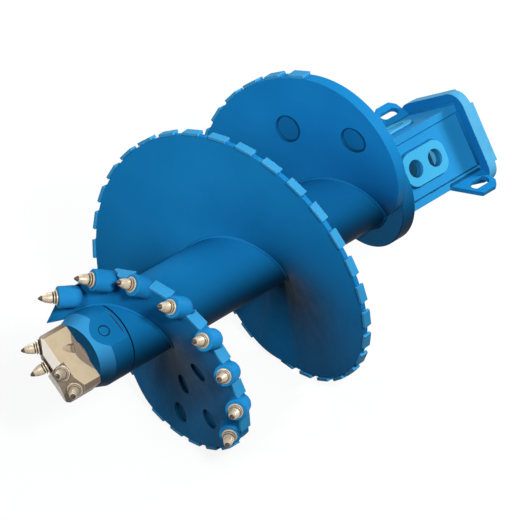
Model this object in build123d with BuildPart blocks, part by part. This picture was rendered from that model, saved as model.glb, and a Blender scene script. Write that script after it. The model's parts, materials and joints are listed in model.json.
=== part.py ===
"""Drilling auger: a rock auger for a rotary rig, lying on its wear plates.

The stem runs along +X, pilot bit at the -X end and Kelly box at the +X end.
Turn angles are in degrees along the right-hand screw, and a point of the
screw at turn t stands PITCH * t / 360 along the stem.
"""
import math
import os

from build123d import *

# Screw and stem
PITCH = 500.0
STEM_R = 127.0
STEM_WALL = 25.0
FLIGHT_R = 490.0
MID_T = 16.0
THICK_T = 40.0
ROLL = 218.0
GAP = 0.3

# Wear plates on the rim
PLATE_T = 10.0
PLATE_LEN = 64.0
PLATE_STEP = 12.0
PLATE_OVERHANG = 6.0
EDGE_PLATE_LEN = 72.0
EDGE_PLATE_SHIFT = 16.0

# Turn angles where the three flights begin and end
CUT_START = -52.0
CUT_END = 234.0
MID_END = 594.0
TOP_END = 872.0
TRAIL_TURN = 750.7
TRAIL_R = 0.58 * FLIGHT_R

# Round recesses in the thick flights
CUT_RECESS_R = 34.0
TOP_RECESS_R = 45.0
RECESS_DEPTH = 9.0

# Socket and pilot bit
SEAM_X = 20.0
SOCKET_FRONT_X = -112.0
SOCKET_NECK = 51.0
SOCKET_NOSE_R = 0.866 * STEM_R
SOCKET_FLAT = 0.903 * STEM_R
SOCKET_TURN = 73.0
SHANK_R = 0.472 * STEM_R
SHANK_LEN = 112.0
PIN_R = 16.0
PIN_X = -46.0
PILOT_TURN = 170.0
PILOT_W = 222.0
PILOT_T = 100.0
PILOT_CORNER = 16.0
PILOT_LEAD = 83.0
PILOT_TRAIL = 98.0
PILOT_BEND = 58.0
SEAT_SLOPE_U = 0.45
SEAT_SLOPE_V = 0.40
TRAIL_SLOPE = 0.25
KNOCK_R = 18.0
KNOCK_LEN = 45.0
KNOCK_FRONT = 59.0
KNOCK_ALONG = 39.0
KNOCK_SKEW = 24.0
KNOCK_DIP = 16.0

# Round-shank picks and their holders
PICK_SHANK_R = 14.0
PICK_SHANK_LEN = 45.0
RUN_CLEAR = 0.05
PICK_COLLAR_R = 25.0
PICK_NECK_R = 18.0
PICK_BODY_R = 20.0
PICK_BODY_LEN = 49.0
TIP_R = 8.6
TIP_LEN = 13.0
TIP_DOME = 2.8
TIP_ROOT_R = 6.0
TIP_ROOT_LEN = 7.0
HOLDER_R = 36.0
HOLDER_LEN = 80.0
HOLDER_DOME = 26.0
LEAN_FORWARD = 0.92
LEAN_ROUND = 0.39

# Kelly box
KELLY = 200.0
COVER_T = 25.0
SIDE_T = 21.0
BOX_TURN = 98.7
FLANGE_T = 60.0
BOX_LEN = 364.0
COLLAR_T = 35.0
COLLAR_RIM = 40.0
COLLAR_ROUND = 58.0
BAR_T = 12.0
BAR_W = 28.0
DOUBLER_T = 12.0
DOUBLER_LEN = 196.0
DOUBLER_W = 118.0
DOUBLER_ROUND = 44.0
PIN_HOLE_R = 31.0
PIN_HOLE_STEP = 93.0
DOUBLER_FROM_FLANGE = 144.0
LUG_T = 18.0
LUG_LEN = 138.0
LUG_OUT = 82.0
SLOT_LEN = 80.0
SLOT_W = 34.0

# Rim of the cutting flight: turn angle, share of the way from stem to full rim
RIM = [
    {"turn": -40.1, "share": 0.142},
    {"turn": -7.4, "share": 0.209},
    {"turn": 30.5, "share": 0.295},
    {"turn": 61.5, "share": 0.380},
    {"turn": 87.7, "share": 0.482},
    {"turn": 110.5, "share": 0.592},
    {"turn": 129.5, "share": 0.708},
    {"turn": 146.8, "share": 0.846},
    {"turn": 166.2, "share": 1.000},
]

# Picks on the cutting flight: corner of the rim, turn past it, step outside it, height in
# front of the plate, outward lean
TEETH = [
    {"corner": 1, "ahead": 11.4, "out": -7.8, "front": 60.0, "lean": 0.43},
    {"corner": 2, "ahead": 7.6, "out": 9.9, "front": 50.0, "lean": 0.39},
    {"corner": 3, "ahead": 1.7, "out": 0.8, "front": 21.0, "lean": 0.45},
    {"corner": 4, "ahead": 2.1, "out": 13.8, "front": 21.0, "lean": 0.30},
    {"corner": 5, "ahead": 1.9, "out": 22.5, "front": 21.0, "lean": 0.31},
    {"corner": 6, "ahead": 1.8, "out": 25.0, "front": 21.0, "lean": 0.45},
    {"corner": 7, "ahead": 2.0, "out": 19.7, "front": 21.0, "lean": 0.46},
    {"corner": 8, "ahead": 1.8, "out": -23.2, "front": 21.0, "lean": 0.56},
]

# Picks on the pilot bit: wing, place along and across it, and the way they point
PILOT_TEETH = [
    {"wing": 0.0, "along": 25.1, "across": -25.5, "outward": 0.08, "round": 0.55, "forward": 0.831},
    {"wing": 0.0, "along": 87.8, "across": -15.2, "outward": 0.39, "round": 0.536, "forward": 0.749},
    {"wing": 180.0, "along": 25.1, "across": -25.5, "outward": 0.08, "round": 0.55, "forward": 0.831},
    {"wing": 180.0, "along": 87.8, "across": -15.2, "outward": 0.39, "round": 0.536, "forward": 0.749},
]

CUT_RECESSES = [
    {"turn": 155.8, "share": 0.348},
    {"turn": 200.7, "share": 0.396},
    {"turn": 212.6, "share": 0.749},
    {"turn": 183.7, "share": 0.722},
]
TOP_RECESSES = [
    {"turn": 732.8, "share": 0.514},
    {"turn": 777.7, "share": 0.533},
]

# Sizes that follow from those above
THICK_BACK = MID_T
THICK_FRONT = MID_T - THICK_T
THICK_MID = (THICK_BACK + THICK_FRONT) / 2
ROOT_R = STEM_R + GAP
AXIS_Z = FLIGHT_R + GAP + PLATE_T
FLANGE_X = PITCH * 2.3625
BOX_X = FLANGE_X + FLANGE_T
COLLAR_X = BOX_X + BOX_LEN
END_X = COLLAR_X + COLLAR_T + BAR_T
BOX_HALF = KELLY / 2 + COVER_T
SIDE_FACE = KELLY / 2 + SIDE_T
COLLAR_HALF = BOX_HALF + COLLAR_RIM
FLANGE_R = 1.6 * BOX_HALF
CORNER_R = BOX_HALF * math.sqrt(2)
PICK_LEN = GAP + PICK_BODY_LEN + TIP_LEN
DOME_RIM = 0.5 * TIP_R
DOME_R = (DOME_RIM**2 + TIP_DOME**2) / (2 * TIP_DOME)
DOME_HALF = math.asin(DOME_RIM / DOME_R) / 2
PILOT_BASE_X = SOCKET_FRONT_X - GAP


def seat_x(along, across):
    """Place along the stem of the pilot bit's seat face, which bends back near the wing's end."""
    back = SEAT_SLOPE_U * max(0.0, along - PILOT_BEND)
    return PILOT_BASE_X - PILOT_LEAD + back - SEAT_SLOPE_V * (across + PILOT_T / 2)


def tip_front(tooth):
    """Foremost place along the stem of a pilot pick's domed tip."""
    way = (tooth["forward"], tooth["round"], tooth["outward"])
    ahead = tooth["forward"] / math.hypot(*way)
    return seat_x(tooth["along"], tooth["across"]) - ahead * (PICK_LEN - DOME_R) - DOME_R


X_MID = (min(tip_front(t) for t in PILOT_TEETH) + END_X) / 2


def radial(turn):
    """Unit vector out from the stem's axis at a turn angle."""
    a = math.radians(turn - ROLL)
    return (0.0, math.sin(a), -math.cos(a))


def at(x, r=0.0, turn=0.0):
    """Point at a distance along the stem, a radius and a turn angle."""
    d = radial(turn)
    return (x - X_MID, r * d[1], AXIS_Z + r * d[2])


def mix(*pairs):
    """Sum of vectors, each given with its weight."""
    return tuple(sum(w * v[i] for w, v in pairs) for i in range(3))


def cross_plane(x, turn=0.0):
    """Plane square to the stem, local x out along a turn angle."""
    return Plane(origin=at(x), x_dir=radial(turn), z_dir=(1, 0, 0))


def stem_plane(turn):
    """Plane through the axis, local x out from it and local y along it."""
    back = mix((-1.0, radial(turn + 90)))
    return Plane(origin=at(0.0), x_dir=radial(turn), z_dir=back)


def rim_radius(share):
    """Radius a share of the way from the stem to the full rim."""
    return STEM_R + share * (FLIGHT_R - STEM_R)


def plan(r, turn):
    """Point in the plan of the screw, square to the stem."""
    a = math.radians(turn)
    return (r * math.cos(a), r * math.sin(a))


def tooth_plane(tooth):
    """Plane of a holder's front face, local z along its pick."""
    row = RIM[tooth["corner"]]
    turn = row["turn"] + tooth["ahead"]
    x = PITCH * turn / 360 + THICK_FRONT - tooth["front"]
    way = mix(
        (-LEAN_FORWARD, (1, 0, 0)),
        (-LEAN_ROUND, radial(turn + 90)),
        (tooth["lean"], radial(turn)),
    )
    return Plane(
        origin=at(x, rim_radius(row["share"]) + tooth["out"], turn),
        x_dir=radial(turn + 90),
        z_dir=way,
    )


def pilot_tooth_plane(tooth):
    """Plane of a pick's seat on the pilot bit, local z along the pick."""
    turn = PILOT_TURN + tooth["wing"]
    place = mix(
        (1.0, at(seat_x(tooth["along"], tooth["across"]))),
        (tooth["along"], radial(turn)),
        (tooth["across"], radial(turn + 90)),
    )
    way = mix(
        (-tooth["forward"], (1, 0, 0)),
        (-tooth["round"], radial(turn + 90)),
        (tooth["outward"], radial(turn)),
    )
    return Plane(origin=place, x_dir=radial(turn), z_dir=way)


def knock_plane(wing):
    """Start of the knock-out hole that runs into a wing's back face."""
    turn = PILOT_TURN + wing
    skew = math.radians(KNOCK_SKEW)
    dip = math.radians(KNOCK_DIP)
    flat = mix((math.cos(skew), (1, 0, 0)), (-math.sin(skew), radial(turn)))
    out = radial(turn + 90)
    place = mix(
        (1.0, at(PILOT_BASE_X - KNOCK_FRONT)),
        (KNOCK_ALONG, radial(turn)),
        (PILOT_T / 2 + KNOCK_R * math.cos(dip), out),
        (KNOCK_R * math.sin(dip), flat),
    )
    return Plane(
        origin=place,
        x_dir=mix((math.cos(dip), out), (math.sin(dip), flat)),
        z_dir=mix((math.cos(dip), flat), (-math.sin(dip), out)),
    )


def recess_plane(turn, r):
    """Plane on the front face of a thick flight, local z into the plate."""
    slope = math.atan2(PITCH, 2 * math.pi * r)
    into = mix((math.cos(slope), (1, 0, 0)), (-math.sin(slope), radial(turn + 90)))
    return Plane(
        origin=at(PITCH * turn / 360 + THICK_FRONT, r, turn),
        x_dir=radial(turn),
        z_dir=into,
    )


def plate_plane(x, turn, r):
    """Seat of a wear plate on the round rim, local x along the screw."""
    slope = math.atan2(PITCH, 2 * math.pi * FLIGHT_R)
    along = mix((math.cos(slope), radial(turn + 90)), (math.sin(slope), (1, 0, 0)))
    return Plane(origin=at(x, r, turn), x_dir=along, z_dir=radial(turn))


def screw_path(start, end):
    """Helix at the full rim from one turn angle to another."""
    with BuildLine() as line:
        Helix(
            PITCH,
            PITCH * (end - start) / 360,
            FLIGHT_R,
            center=at(PITCH * start / 360),
            direction=(1, 0, 0),
        )
    return line.wires()[0].rotate(Axis(at(0.0), (1, 0, 0)), start - ROLL - 180)


TOOTH_PLANES = [tooth_plane(t) for t in TEETH]
PILOT_PLANES = [pilot_tooth_plane(t) for t in PILOT_TEETH]
PICK_PLANES = PILOT_PLANES + TOOTH_PLANES
SEAM_TURN = math.degrees(GAP / 2 / ((STEM_R + FLIGHT_R) / 2))

os.makedirs("parts", exist_ok=True)

# Stem tube
with BuildPart() as stem_tube:
    with BuildSketch(cross_plane(SEAM_X + GAP)):
        Circle(STEM_R)
        Circle(STEM_R - STEM_WALL, mode=Mode.SUBTRACT)
    extrude(amount=FLANGE_X - SEAM_X - 2 * GAP)
stem_tube.part.label = "stem_tube"
export_step(stem_tube.part, "parts/stem_tube.step")

# Socket for the pilot bit, with a flat at each end of its cross pin
with BuildPart() as pilot_socket:
    with BuildSketch(stem_plane(SOCKET_TURN)):
        with BuildLine():
            Polyline(
                (0, SEAM_X),
                (STEM_R - 4, SEAM_X),
                (STEM_R, SEAM_X - 4),
                (STEM_R, SOCKET_FRONT_X + SOCKET_NECK),
                (SOCKET_NOSE_R, SOCKET_FRONT_X),
                (SHANK_R + GAP, SOCKET_FRONT_X),
                (SHANK_R + GAP, SOCKET_FRONT_X + SHANK_LEN + GAP),
                (0, SOCKET_FRONT_X + SHANK_LEN + GAP),
                close=True,
            )
        make_face()
    revolve(axis=Axis(at(0.0), (1, 0, 0)))
    for side in (SOCKET_TURN, SOCKET_TURN + 180):
        with BuildSketch(Plane(at(0.0, SOCKET_FLAT, side), (1, 0, 0), radial(side))):
            with Locations(((SOCKET_FRONT_X - 10 + SEAM_X - 14) / 2, 0)):
                Rectangle(SEAM_X - 14 - SOCKET_FRONT_X + 10, 2.2 * STEM_R)
        extrude(amount=STEM_R, mode=Mode.SUBTRACT)
    with BuildSketch(Plane(at(0.0), (1, 0, 0), radial(SOCKET_TURN))):
        with Locations((PIN_X, 0)):
            Circle(PIN_R + GAP)
    extrude(amount=2 * STEM_R, both=True, mode=Mode.SUBTRACT)
pilot_socket.part.label = "pilot_socket"
export_step(pilot_socket.part, "parts/pilot_socket.step")

# Cross pin of the socket
with BuildPart() as socket_pin:
    with BuildSketch(Plane(at(0.0), (1, 0, 0), radial(SOCKET_TURN))):
        with Locations((PIN_X, 0)):
            Circle(PIN_R)
    extrude(amount=SOCKET_FLAT - GAP, both=True)
    chamfer(socket_pin.edges().filter_by(GeomType.CIRCLE), 1.5)
socket_pin.part.label = "socket_pin"
export_step(socket_pin.part, "parts/socket_pin.step")

# Pilot bit: two wings with bevelled corners, and a shank in the socket
with BuildPart() as pilot_block:
    for wing in (0.0, 180.0):
        turn = PILOT_TURN + wing
        for along in (0.0, PILOT_BEND, PILOT_W / 2):
            lead_x = seat_x(along, -PILOT_T / 2)
            trail_x = PILOT_BASE_X - PILOT_TRAIL
            rise = lead_x - trail_x + TRAIL_SLOPE * PILOT_T
            ridge = rise / (SEAT_SLOPE_V + TRAIL_SLOPE) - PILOT_T / 2
            ridge_x = lead_x - SEAT_SLOPE_V * (ridge + PILOT_T / 2)
            place = Plane(
                origin=mix((1.0, at(0.0)), (along, radial(turn))),
                x_dir=radial(turn + 90),
                z_dir=radial(turn),
            )
            with BuildSketch(place):
                with BuildLine():
                    Polyline(
                        (-PILOT_T / 2, PILOT_BASE_X),
                        (-PILOT_T / 2, lead_x),
                        (ridge, ridge_x),
                        (PILOT_T / 2, trail_x),
                        (PILOT_T / 2, PILOT_BASE_X),
                        close=True,
                    )
                make_face()
        loft(ruled=True)
    with BuildSketch(cross_plane(PILOT_BASE_X, PILOT_TURN)) as outline:
        Rectangle(PILOT_W, PILOT_T)
        chamfer(outline.vertices(), PILOT_CORNER)
    extrude(amount=-2 * PILOT_TRAIL, mode=Mode.INTERSECT)
    for wing in (0.0, 180.0):
        with BuildSketch(knock_plane(wing)):
            Circle(KNOCK_R)
        extrude(amount=KNOCK_LEN, mode=Mode.SUBTRACT)
    with BuildSketch(cross_plane(PILOT_BASE_X)):
        Circle(SHANK_R)
    extrude(amount=SHANK_LEN)
    with BuildSketch(Plane(at(0.0), (1, 0, 0), radial(SOCKET_TURN))):
        with Locations((PIN_X, 0)):
            Circle(PIN_R + GAP)
    extrude(amount=2 * STEM_R, both=True, mode=Mode.SUBTRACT)
    for place in PILOT_PLANES:
        with BuildSketch(place):
            Circle(PICK_COLLAR_R + 2)
        extrude(amount=3 * PICK_COLLAR_R, mode=Mode.SUBTRACT)
        with BuildSketch(place):
            Circle(PICK_SHANK_R + RUN_CLEAR)
        extrude(amount=-PICK_SHANK_LEN - 1, mode=Mode.SUBTRACT)
pilot_block.part.label = "pilot_block"
export_step(pilot_block.part, "parts/pilot_block.step")

# Cutting flight: thick, with a rim that grows from corner to corner
with BuildPart() as flight_cutting:
    with BuildSketch(stem_plane(CUT_START)):
        with Locations(((ROOT_R + FLIGHT_R) / 2, PITCH * CUT_START / 360 + THICK_MID)):
            Rectangle(FLIGHT_R - ROOT_R, THICK_T)
    sweep(path=screw_path(CUT_START, CUT_END - SEAM_TURN), is_frenet=True)
    low_x = PITCH * CUT_START / 360 + THICK_FRONT - 10
    with BuildSketch(cross_plane(low_x)):
        with BuildLine():
            corners = [plan(rim_radius(row["share"]), row["turn"]) for row in RIM]
            Polyline((0, 0), plan(0.9 * STEM_R, -9.0), *corners)
            full_turn = RIM[-1]["turn"]
            Line(corners[-1], plan(1.1 * FLIGHT_R, full_turn))
            ThreePointArc(
                plan(1.1 * FLIGHT_R, full_turn),
                plan(1.1 * FLIGHT_R, (full_turn + CUT_END + 2) / 2),
                plan(1.1 * FLIGHT_R, CUT_END + 2),
            )
            Line(plan(1.1 * FLIGHT_R, CUT_END + 2), (0, 0))
        make_face()
    extrude(amount=PITCH * (CUT_END - CUT_START) / 360 + THICK_T + 20, mode=Mode.INTERSECT)
    for place in TOOTH_PLANES:
        with BuildSketch(place):
            Circle(HOLDER_R + GAP)
        extrude(amount=-HOLDER_LEN - GAP, mode=Mode.SUBTRACT)
    for row in CUT_RECESSES:
        with BuildSketch(recess_plane(row["turn"], rim_radius(row["share"]))):
            Circle(CUT_RECESS_R)
        extrude(amount=RECESS_DEPTH, mode=Mode.SUBTRACT)
        with BuildSketch(recess_plane(row["turn"], rim_radius(row["share"]))):
            Circle(CUT_RECESS_R)
        extrude(amount=-RECESS_DEPTH, mode=Mode.SUBTRACT)
flight_cutting.part.label = "flight_cutting"
export_step(flight_cutting.part, "parts/flight_cutting.step")

# Middle flight: one full turn of thinner plate
with BuildPart() as flight_middle:
    with BuildSketch(stem_plane(CUT_END)):
        with Locations(((ROOT_R + FLIGHT_R) / 2, PITCH * CUT_END / 360 + MID_T / 2)):
            Rectangle(FLIGHT_R - ROOT_R, MID_T)
    sweep(path=screw_path(CUT_END, MID_END - SEAM_TURN), is_frenet=True)
flight_middle.part.label = "flight_middle"
export_step(flight_middle.part, "parts/flight_middle.step")

# Top flight: thick, its rim rounded off into the hub flange
with BuildPart() as flight_top:
    with BuildSketch(stem_plane(MID_END)):
        with Locations(((ROOT_R + FLIGHT_R) / 2, PITCH * MID_END / 360 + THICK_MID)):
            Rectangle(FLIGHT_R - ROOT_R, THICK_T)
    sweep(path=screw_path(MID_END, TOP_END), is_frenet=True)
    low_x = PITCH * MID_END / 360 + THICK_FRONT - 10
    with BuildSketch(cross_plane(low_x)):
        centre = plan(FLIGHT_R - TRAIL_R, TRAIL_TURN)
        arc_mid = plan(TRAIL_R, TRAIL_TURN + 60)
        arc_end = plan(TRAIL_R, TRAIL_TURN + 159)
        with BuildLine():
            Line((0, 0), plan(1.1 * FLIGHT_R, MID_END - 2))
            ThreePointArc(
                plan(1.1 * FLIGHT_R, MID_END - 2),
                plan(1.1 * FLIGHT_R, (MID_END + TRAIL_TURN) / 2),
                plan(1.1 * FLIGHT_R, TRAIL_TURN),
            )
            Line(plan(1.1 * FLIGHT_R, TRAIL_TURN), plan(FLIGHT_R, TRAIL_TURN))
            ThreePointArc(
                plan(FLIGHT_R, TRAIL_TURN),
                (centre[0] + arc_mid[0], centre[1] + arc_mid[1]),
                (centre[0] + arc_end[0], centre[1] + arc_end[1]),
            )
            Line((centre[0] + arc_end[0], centre[1] + arc_end[1]), (0, 0))
        make_face()
    extrude(amount=FLANGE_X - GAP - low_x, mode=Mode.INTERSECT)
    for row in TOP_RECESSES:
        with BuildSketch(recess_plane(row["turn"], rim_radius(row["share"]))):
            Circle(TOP_RECESS_R)
        extrude(amount=RECESS_DEPTH, mode=Mode.SUBTRACT)
        with BuildSketch(recess_plane(row["turn"], rim_radius(row["share"]))):
            Circle(TOP_RECESS_R)
        extrude(amount=-RECESS_DEPTH, mode=Mode.SUBTRACT)
flight_top.part.label = "flight_top"
export_step(flight_top.part, "parts/flight_top.step")

# Wear plates: on the straight edges between the picks, then along the round rim
with BuildPart() as plates_cutting:
    for low, high in zip(RIM[2:-1], RIM[3:]):
        p = plan(rim_radius(low["share"]), low["turn"])
        q = plan(rim_radius(high["share"]), high["turn"])
        chord = math.hypot(q[0] - p[0], q[1] - p[1])
        middle = ((p[0] + q[0]) / 2, (p[1] + q[1]) / 2)
        mid_turn = math.degrees(math.atan2(middle[1], middle[0]))
        edge_turn = math.degrees(math.atan2(q[1] - p[1], q[0] - p[0]))
        climb = PITCH * (high["turn"] - low["turn"]) / 360
        along = mix((chord, radial(edge_turn)), (climb, (1, 0, 0)))
        seat = Plane(
            origin=at(PITCH * mid_turn / 360 + THICK_MID, math.hypot(*middle), mid_turn),
            x_dir=along,
            z_dir=radial(edge_turn - 90),
        )
        with BuildSketch(seat.offset(GAP)):
            with Locations((EDGE_PLATE_SHIFT, 0)):
                Rectangle(EDGE_PLATE_LEN, THICK_T)
        extrude(amount=PLATE_T)
    for place in TOOTH_PLANES:
        with BuildSketch(place):
            Circle(HOLDER_R + GAP)
        extrude(amount=-HOLDER_LEN - GAP, mode=Mode.SUBTRACT)
    for turn in (182.0, 194.0, 206.0, 218.0, 230.0):
        with BuildSketch(plate_plane(PITCH * turn / 360 + THICK_MID, turn, FLIGHT_R + GAP)):
            Rectangle(PLATE_LEN, THICK_T)
        extrude(amount=PLATE_T)
plates_cutting.part.label = "plates_cutting"
export_step(plates_cutting.part, "parts/plates_cutting.step")

with BuildPart() as plates_middle:
    for n in range(30):
        turn = ROLL + PLATE_STEP * (2 + n)
        with BuildSketch(plate_plane(PITCH * turn / 360 + MID_T / 2, turn, FLIGHT_R + GAP)):
            Rectangle(PLATE_LEN, MID_T + 2 * PLATE_OVERHANG)
        extrude(amount=PLATE_T)
plates_middle.part.label = "plates_middle"
export_step(plates_middle.part, "parts/plates_middle.step")

with BuildPart() as plates_top:
    for n in range(13):
        turn = ROLL + PLATE_STEP * (32 + n)
        with BuildSketch(plate_plane(PITCH * turn / 360 + THICK_MID, turn, FLIGHT_R + GAP)):
            Rectangle(PLATE_LEN, THICK_T)
        extrude(amount=PLATE_T)
plates_top.part.label = "plates_top"
export_step(plates_top.part, "parts/plates_top.step")

# Pick holders let into the rim, each with a domed back and a bore
with BuildPart() as pick_holders:
    for place in TOOTH_PLANES:
        with BuildSketch(Plane(place.origin, place.x_dir, place.y_dir)):
            with BuildLine():
                Polyline(
                    (0, 0),
                    (HOLDER_R - 3, 0),
                    (HOLDER_R, 3),
                    (HOLDER_R, HOLDER_LEN - HOLDER_DOME),
                )
                TangentArc(
                    (HOLDER_R, HOLDER_LEN - HOLDER_DOME),
                    (HOLDER_R - HOLDER_DOME, HOLDER_LEN),
                    tangent=(0, 1),
                )
                Polyline((HOLDER_R - HOLDER_DOME, HOLDER_LEN), (0, HOLDER_LEN), (0, 0))
            make_face()
        revolve(axis=Axis(place.origin, place.z_dir))
    for place in TOOTH_PLANES:
        with BuildSketch(place):
            Circle(PICK_SHANK_R + RUN_CLEAR)
        extrude(amount=-PICK_SHANK_LEN - 1, mode=Mode.SUBTRACT)
pick_holders.part.label = "pick_holders"
export_step(pick_holders.part, "parts/pick_holders.step")

# Picks: a steel body free to turn in its bore, and a carbide tip
for number, place in enumerate(PICK_PLANES, start=1):
    with BuildPart() as pick:
        with BuildSketch(Plane(place.origin, place.x_dir, -place.y_dir)):
            with BuildLine():
                Polyline(
                    (0, -PICK_SHANK_LEN),
                    (PICK_SHANK_R - 2, -PICK_SHANK_LEN),
                    (PICK_SHANK_R, 2 - PICK_SHANK_LEN),
                    (PICK_SHANK_R, GAP),
                    (PICK_COLLAR_R, GAP),
                    (PICK_COLLAR_R, GAP + 5),
                    (PICK_NECK_R, GAP + 7),
                    (PICK_NECK_R, GAP + 8.5),
                    (PICK_BODY_R + 1, GAP + 10),
                    (PICK_BODY_R + 1, GAP + 13),
                    (PICK_NECK_R, GAP + 15),
                    (PICK_BODY_R, GAP + 18),
                )
                ThreePointArc(
                    (PICK_BODY_R, GAP + 18),
                    (0.53 * PICK_BODY_R + 0.53 * TIP_R, GAP + 0.36 * 18 + 0.64 * PICK_BODY_LEN),
                    (TIP_R + 1.4, GAP + PICK_BODY_LEN),
                )
                Polyline(
                    (TIP_R + 1.4, GAP + PICK_BODY_LEN),
                    (TIP_ROOT_R, GAP + PICK_BODY_LEN),
                    (TIP_ROOT_R, GAP + PICK_BODY_LEN - TIP_ROOT_LEN),
                    (0, GAP + PICK_BODY_LEN - TIP_ROOT_LEN),
                    (0, -PICK_SHANK_LEN),
                )
            make_face()
        revolve(axis=Axis(place.origin, place.z_dir))
    pick.part.label = f"pick_{number:02d}"
    export_step(pick.part, f"parts/pick_{number:02d}.step")

    with BuildPart() as tip:
        base = GAP + PICK_BODY_LEN + 0.1
        top = PICK_LEN
        with BuildSketch(Plane(place.origin, place.x_dir, -place.y_dir)):
            with BuildLine():
                Polyline(
                    (0, base - TIP_ROOT_LEN),
                    (TIP_ROOT_R - 0.1, base - TIP_ROOT_LEN),
                    (TIP_ROOT_R - 0.1, base),
                    (TIP_R, base),
                    (TIP_R, base + 3),
                    (DOME_RIM, top - TIP_DOME),
                )
                ThreePointArc(
                    (DOME_RIM, top - TIP_DOME),
                    (DOME_R * math.sin(DOME_HALF), top - DOME_R * (1 - math.cos(DOME_HALF))),
                    (0, top),
                )
                Line((0, top), (0, base - TIP_ROOT_LEN))
            make_face()
        revolve(axis=Axis(place.origin, place.z_dir))
    tip.part.label = f"tip_{number:02d}"
    export_step(tip.part, f"parts/tip_{number:02d}.step")

# Hub flange between the stem and the Kelly box
with BuildPart() as hub_flange:
    with BuildSketch(cross_plane(FLANGE_X)):
        Circle(FLANGE_R)
    extrude(amount=FLANGE_T)
    chamfer(hub_flange.edges().filter_by(GeomType.CIRCLE), 3)
hub_flange.part.label = "hub_flange"
export_step(hub_flange.part, "parts/hub_flange.step")

# Kelly box walls: two covers with two side plates between them
HOLE_X = [
    BOX_X + DOUBLER_FROM_FLANGE - PIN_HOLE_STEP / 2,
    BOX_X + DOUBLER_FROM_FLANGE + PIN_HOLE_STEP / 2,
]
WALL_LEN = BOX_LEN - 2 * GAP

with BuildPart() as box_covers:
    with BuildSketch(cross_plane(BOX_X + GAP, BOX_TURN)):
        for side in (-1, 1):
            with Locations((0, side * (KELLY + COVER_T) / 2)):
                Rectangle(2 * BOX_HALF, COVER_T)
    extrude(amount=WALL_LEN)
    with BuildSketch(Plane(at(0.0), (1, 0, 0), radial(BOX_TURN + 90))):
        for x in HOLE_X:
            with Locations((x, 0)):
                Circle(PIN_HOLE_R)
    extrude(amount=2 * BOX_HALF, both=True, mode=Mode.SUBTRACT)
box_covers.part.label = "box_covers"
export_step(box_covers.part, "parts/box_covers.step")

with BuildPart() as box_sides:
    with BuildSketch(cross_plane(BOX_X + GAP, BOX_TURN)):
        for side in (-1, 1):
            with Locations((side * (KELLY + SIDE_T) / 2, 0)):
                Rectangle(SIDE_T, KELLY - 2 * GAP)
    extrude(amount=WALL_LEN)
    with BuildSketch(Plane(at(0.0), (1, 0, 0), radial(BOX_TURN))):
        for x in HOLE_X:
            with Locations((x, 0)):
                Circle(PIN_HOLE_R)
    extrude(amount=2 * BOX_HALF, both=True, mode=Mode.SUBTRACT)
box_sides.part.label = "box_sides"
export_step(box_sides.part, "parts/box_sides.step")

# Doubler plates round the pin holes, one on each wall
DOUBLER_SEATS = [
    {"turn": BOX_TURN, "face": SIDE_FACE},
    {"turn": BOX_TURN + 90, "face": BOX_HALF},
    {"turn": BOX_TURN + 180, "face": SIDE_FACE},
    {"turn": BOX_TURN + 270, "face": BOX_HALF},
]
with BuildPart() as pin_doublers:
    for row in DOUBLER_SEATS:
        origin = at(BOX_X + DOUBLER_FROM_FLANGE, row["face"] + GAP, row["turn"])
        with BuildSketch(Plane(origin, (1, 0, 0), radial(row["turn"]))):
            RectangleRounded(DOUBLER_LEN, DOUBLER_W, DOUBLER_ROUND)
            with Locations((-PIN_HOLE_STEP / 2, 0), (PIN_HOLE_STEP / 2, 0)):
                Circle(PIN_HOLE_R, mode=Mode.SUBTRACT)
        extrude(amount=DOUBLER_T)
pin_doublers.part.label = "pin_doublers"
export_step(pin_doublers.part, "parts/pin_doublers.step")

# Collar at the mouth of the box, with a bar along each edge of its back
with BuildPart() as collar:
    with BuildSketch(cross_plane(COLLAR_X, BOX_TURN)):
        RectangleRounded(2 * COLLAR_HALF, 2 * COLLAR_HALF, COLLAR_ROUND)
        Rectangle(KELLY, KELLY, mode=Mode.SUBTRACT)
    extrude(amount=COLLAR_T)
collar.part.label = "collar"
export_step(collar.part, "parts/collar.step")

with BuildPart() as collar_bars:
    for quarter in range(4):
        with BuildSketch(cross_plane(COLLAR_X + COLLAR_T, BOX_TURN + 90 * quarter)):
            with Locations((COLLAR_HALF - BAR_W / 2, 0)):
                Rectangle(BAR_W, 2 * (COLLAR_HALF - COLLAR_ROUND))
        extrude(amount=BAR_T)
collar_bars.part.label = "collar_bars"
export_step(collar_bars.part, "parts/collar_bars.step")

# Lifting lugs on two opposite corners of the box
with BuildPart() as lifting_lugs:
    for turn in (BOX_TURN + 45, BOX_TURN + 225):
        lug_end = COLLAR_X - GAP
        lug_start = lug_end - LUG_LEN
        out = CORNER_R + LUG_OUT
        with BuildSketch(Plane(at(0.0), (1, 0, 0), radial(turn + 90))):
            with BuildLine():
                Polyline(
                    (lug_start - 20, CORNER_R - 12),
                    (lug_end, CORNER_R - 12),
                    (lug_end, out - 22),
                    (lug_end - 18, out),
                    (lug_end - 82, out),
                    close=True,
                )
            lug_face = make_face()
            fillet(lug_face.vertices().sort_by(Axis.Y)[-3:], 9)
            with Locations((lug_end - 57, CORNER_R + 38)):
                SlotOverall(SLOT_LEN, SLOT_W, mode=Mode.SUBTRACT)
        extrude(amount=LUG_T / 2, both=True)
    with BuildSketch(cross_plane(BOX_X, BOX_TURN)):
        Rectangle(2 * (BOX_HALF + GAP), 2 * (BOX_HALF + GAP))
    extrude(amount=BOX_LEN, mode=Mode.SUBTRACT)
lifting_lugs.part.label = "lifting_lugs"
export_step(lifting_lugs.part, "parts/lifting_lugs.step")
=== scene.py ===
"""Looks of the rock drilling auger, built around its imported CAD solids.

The CAD nodes keep their shapes and get paint, machined steel and carbide. New
pieces are numpy surfaces in metres: weld beads where plates meet, tapers at the
flights' joints, and turned picks with carbide points for the plain CAD picks.
"""

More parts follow.
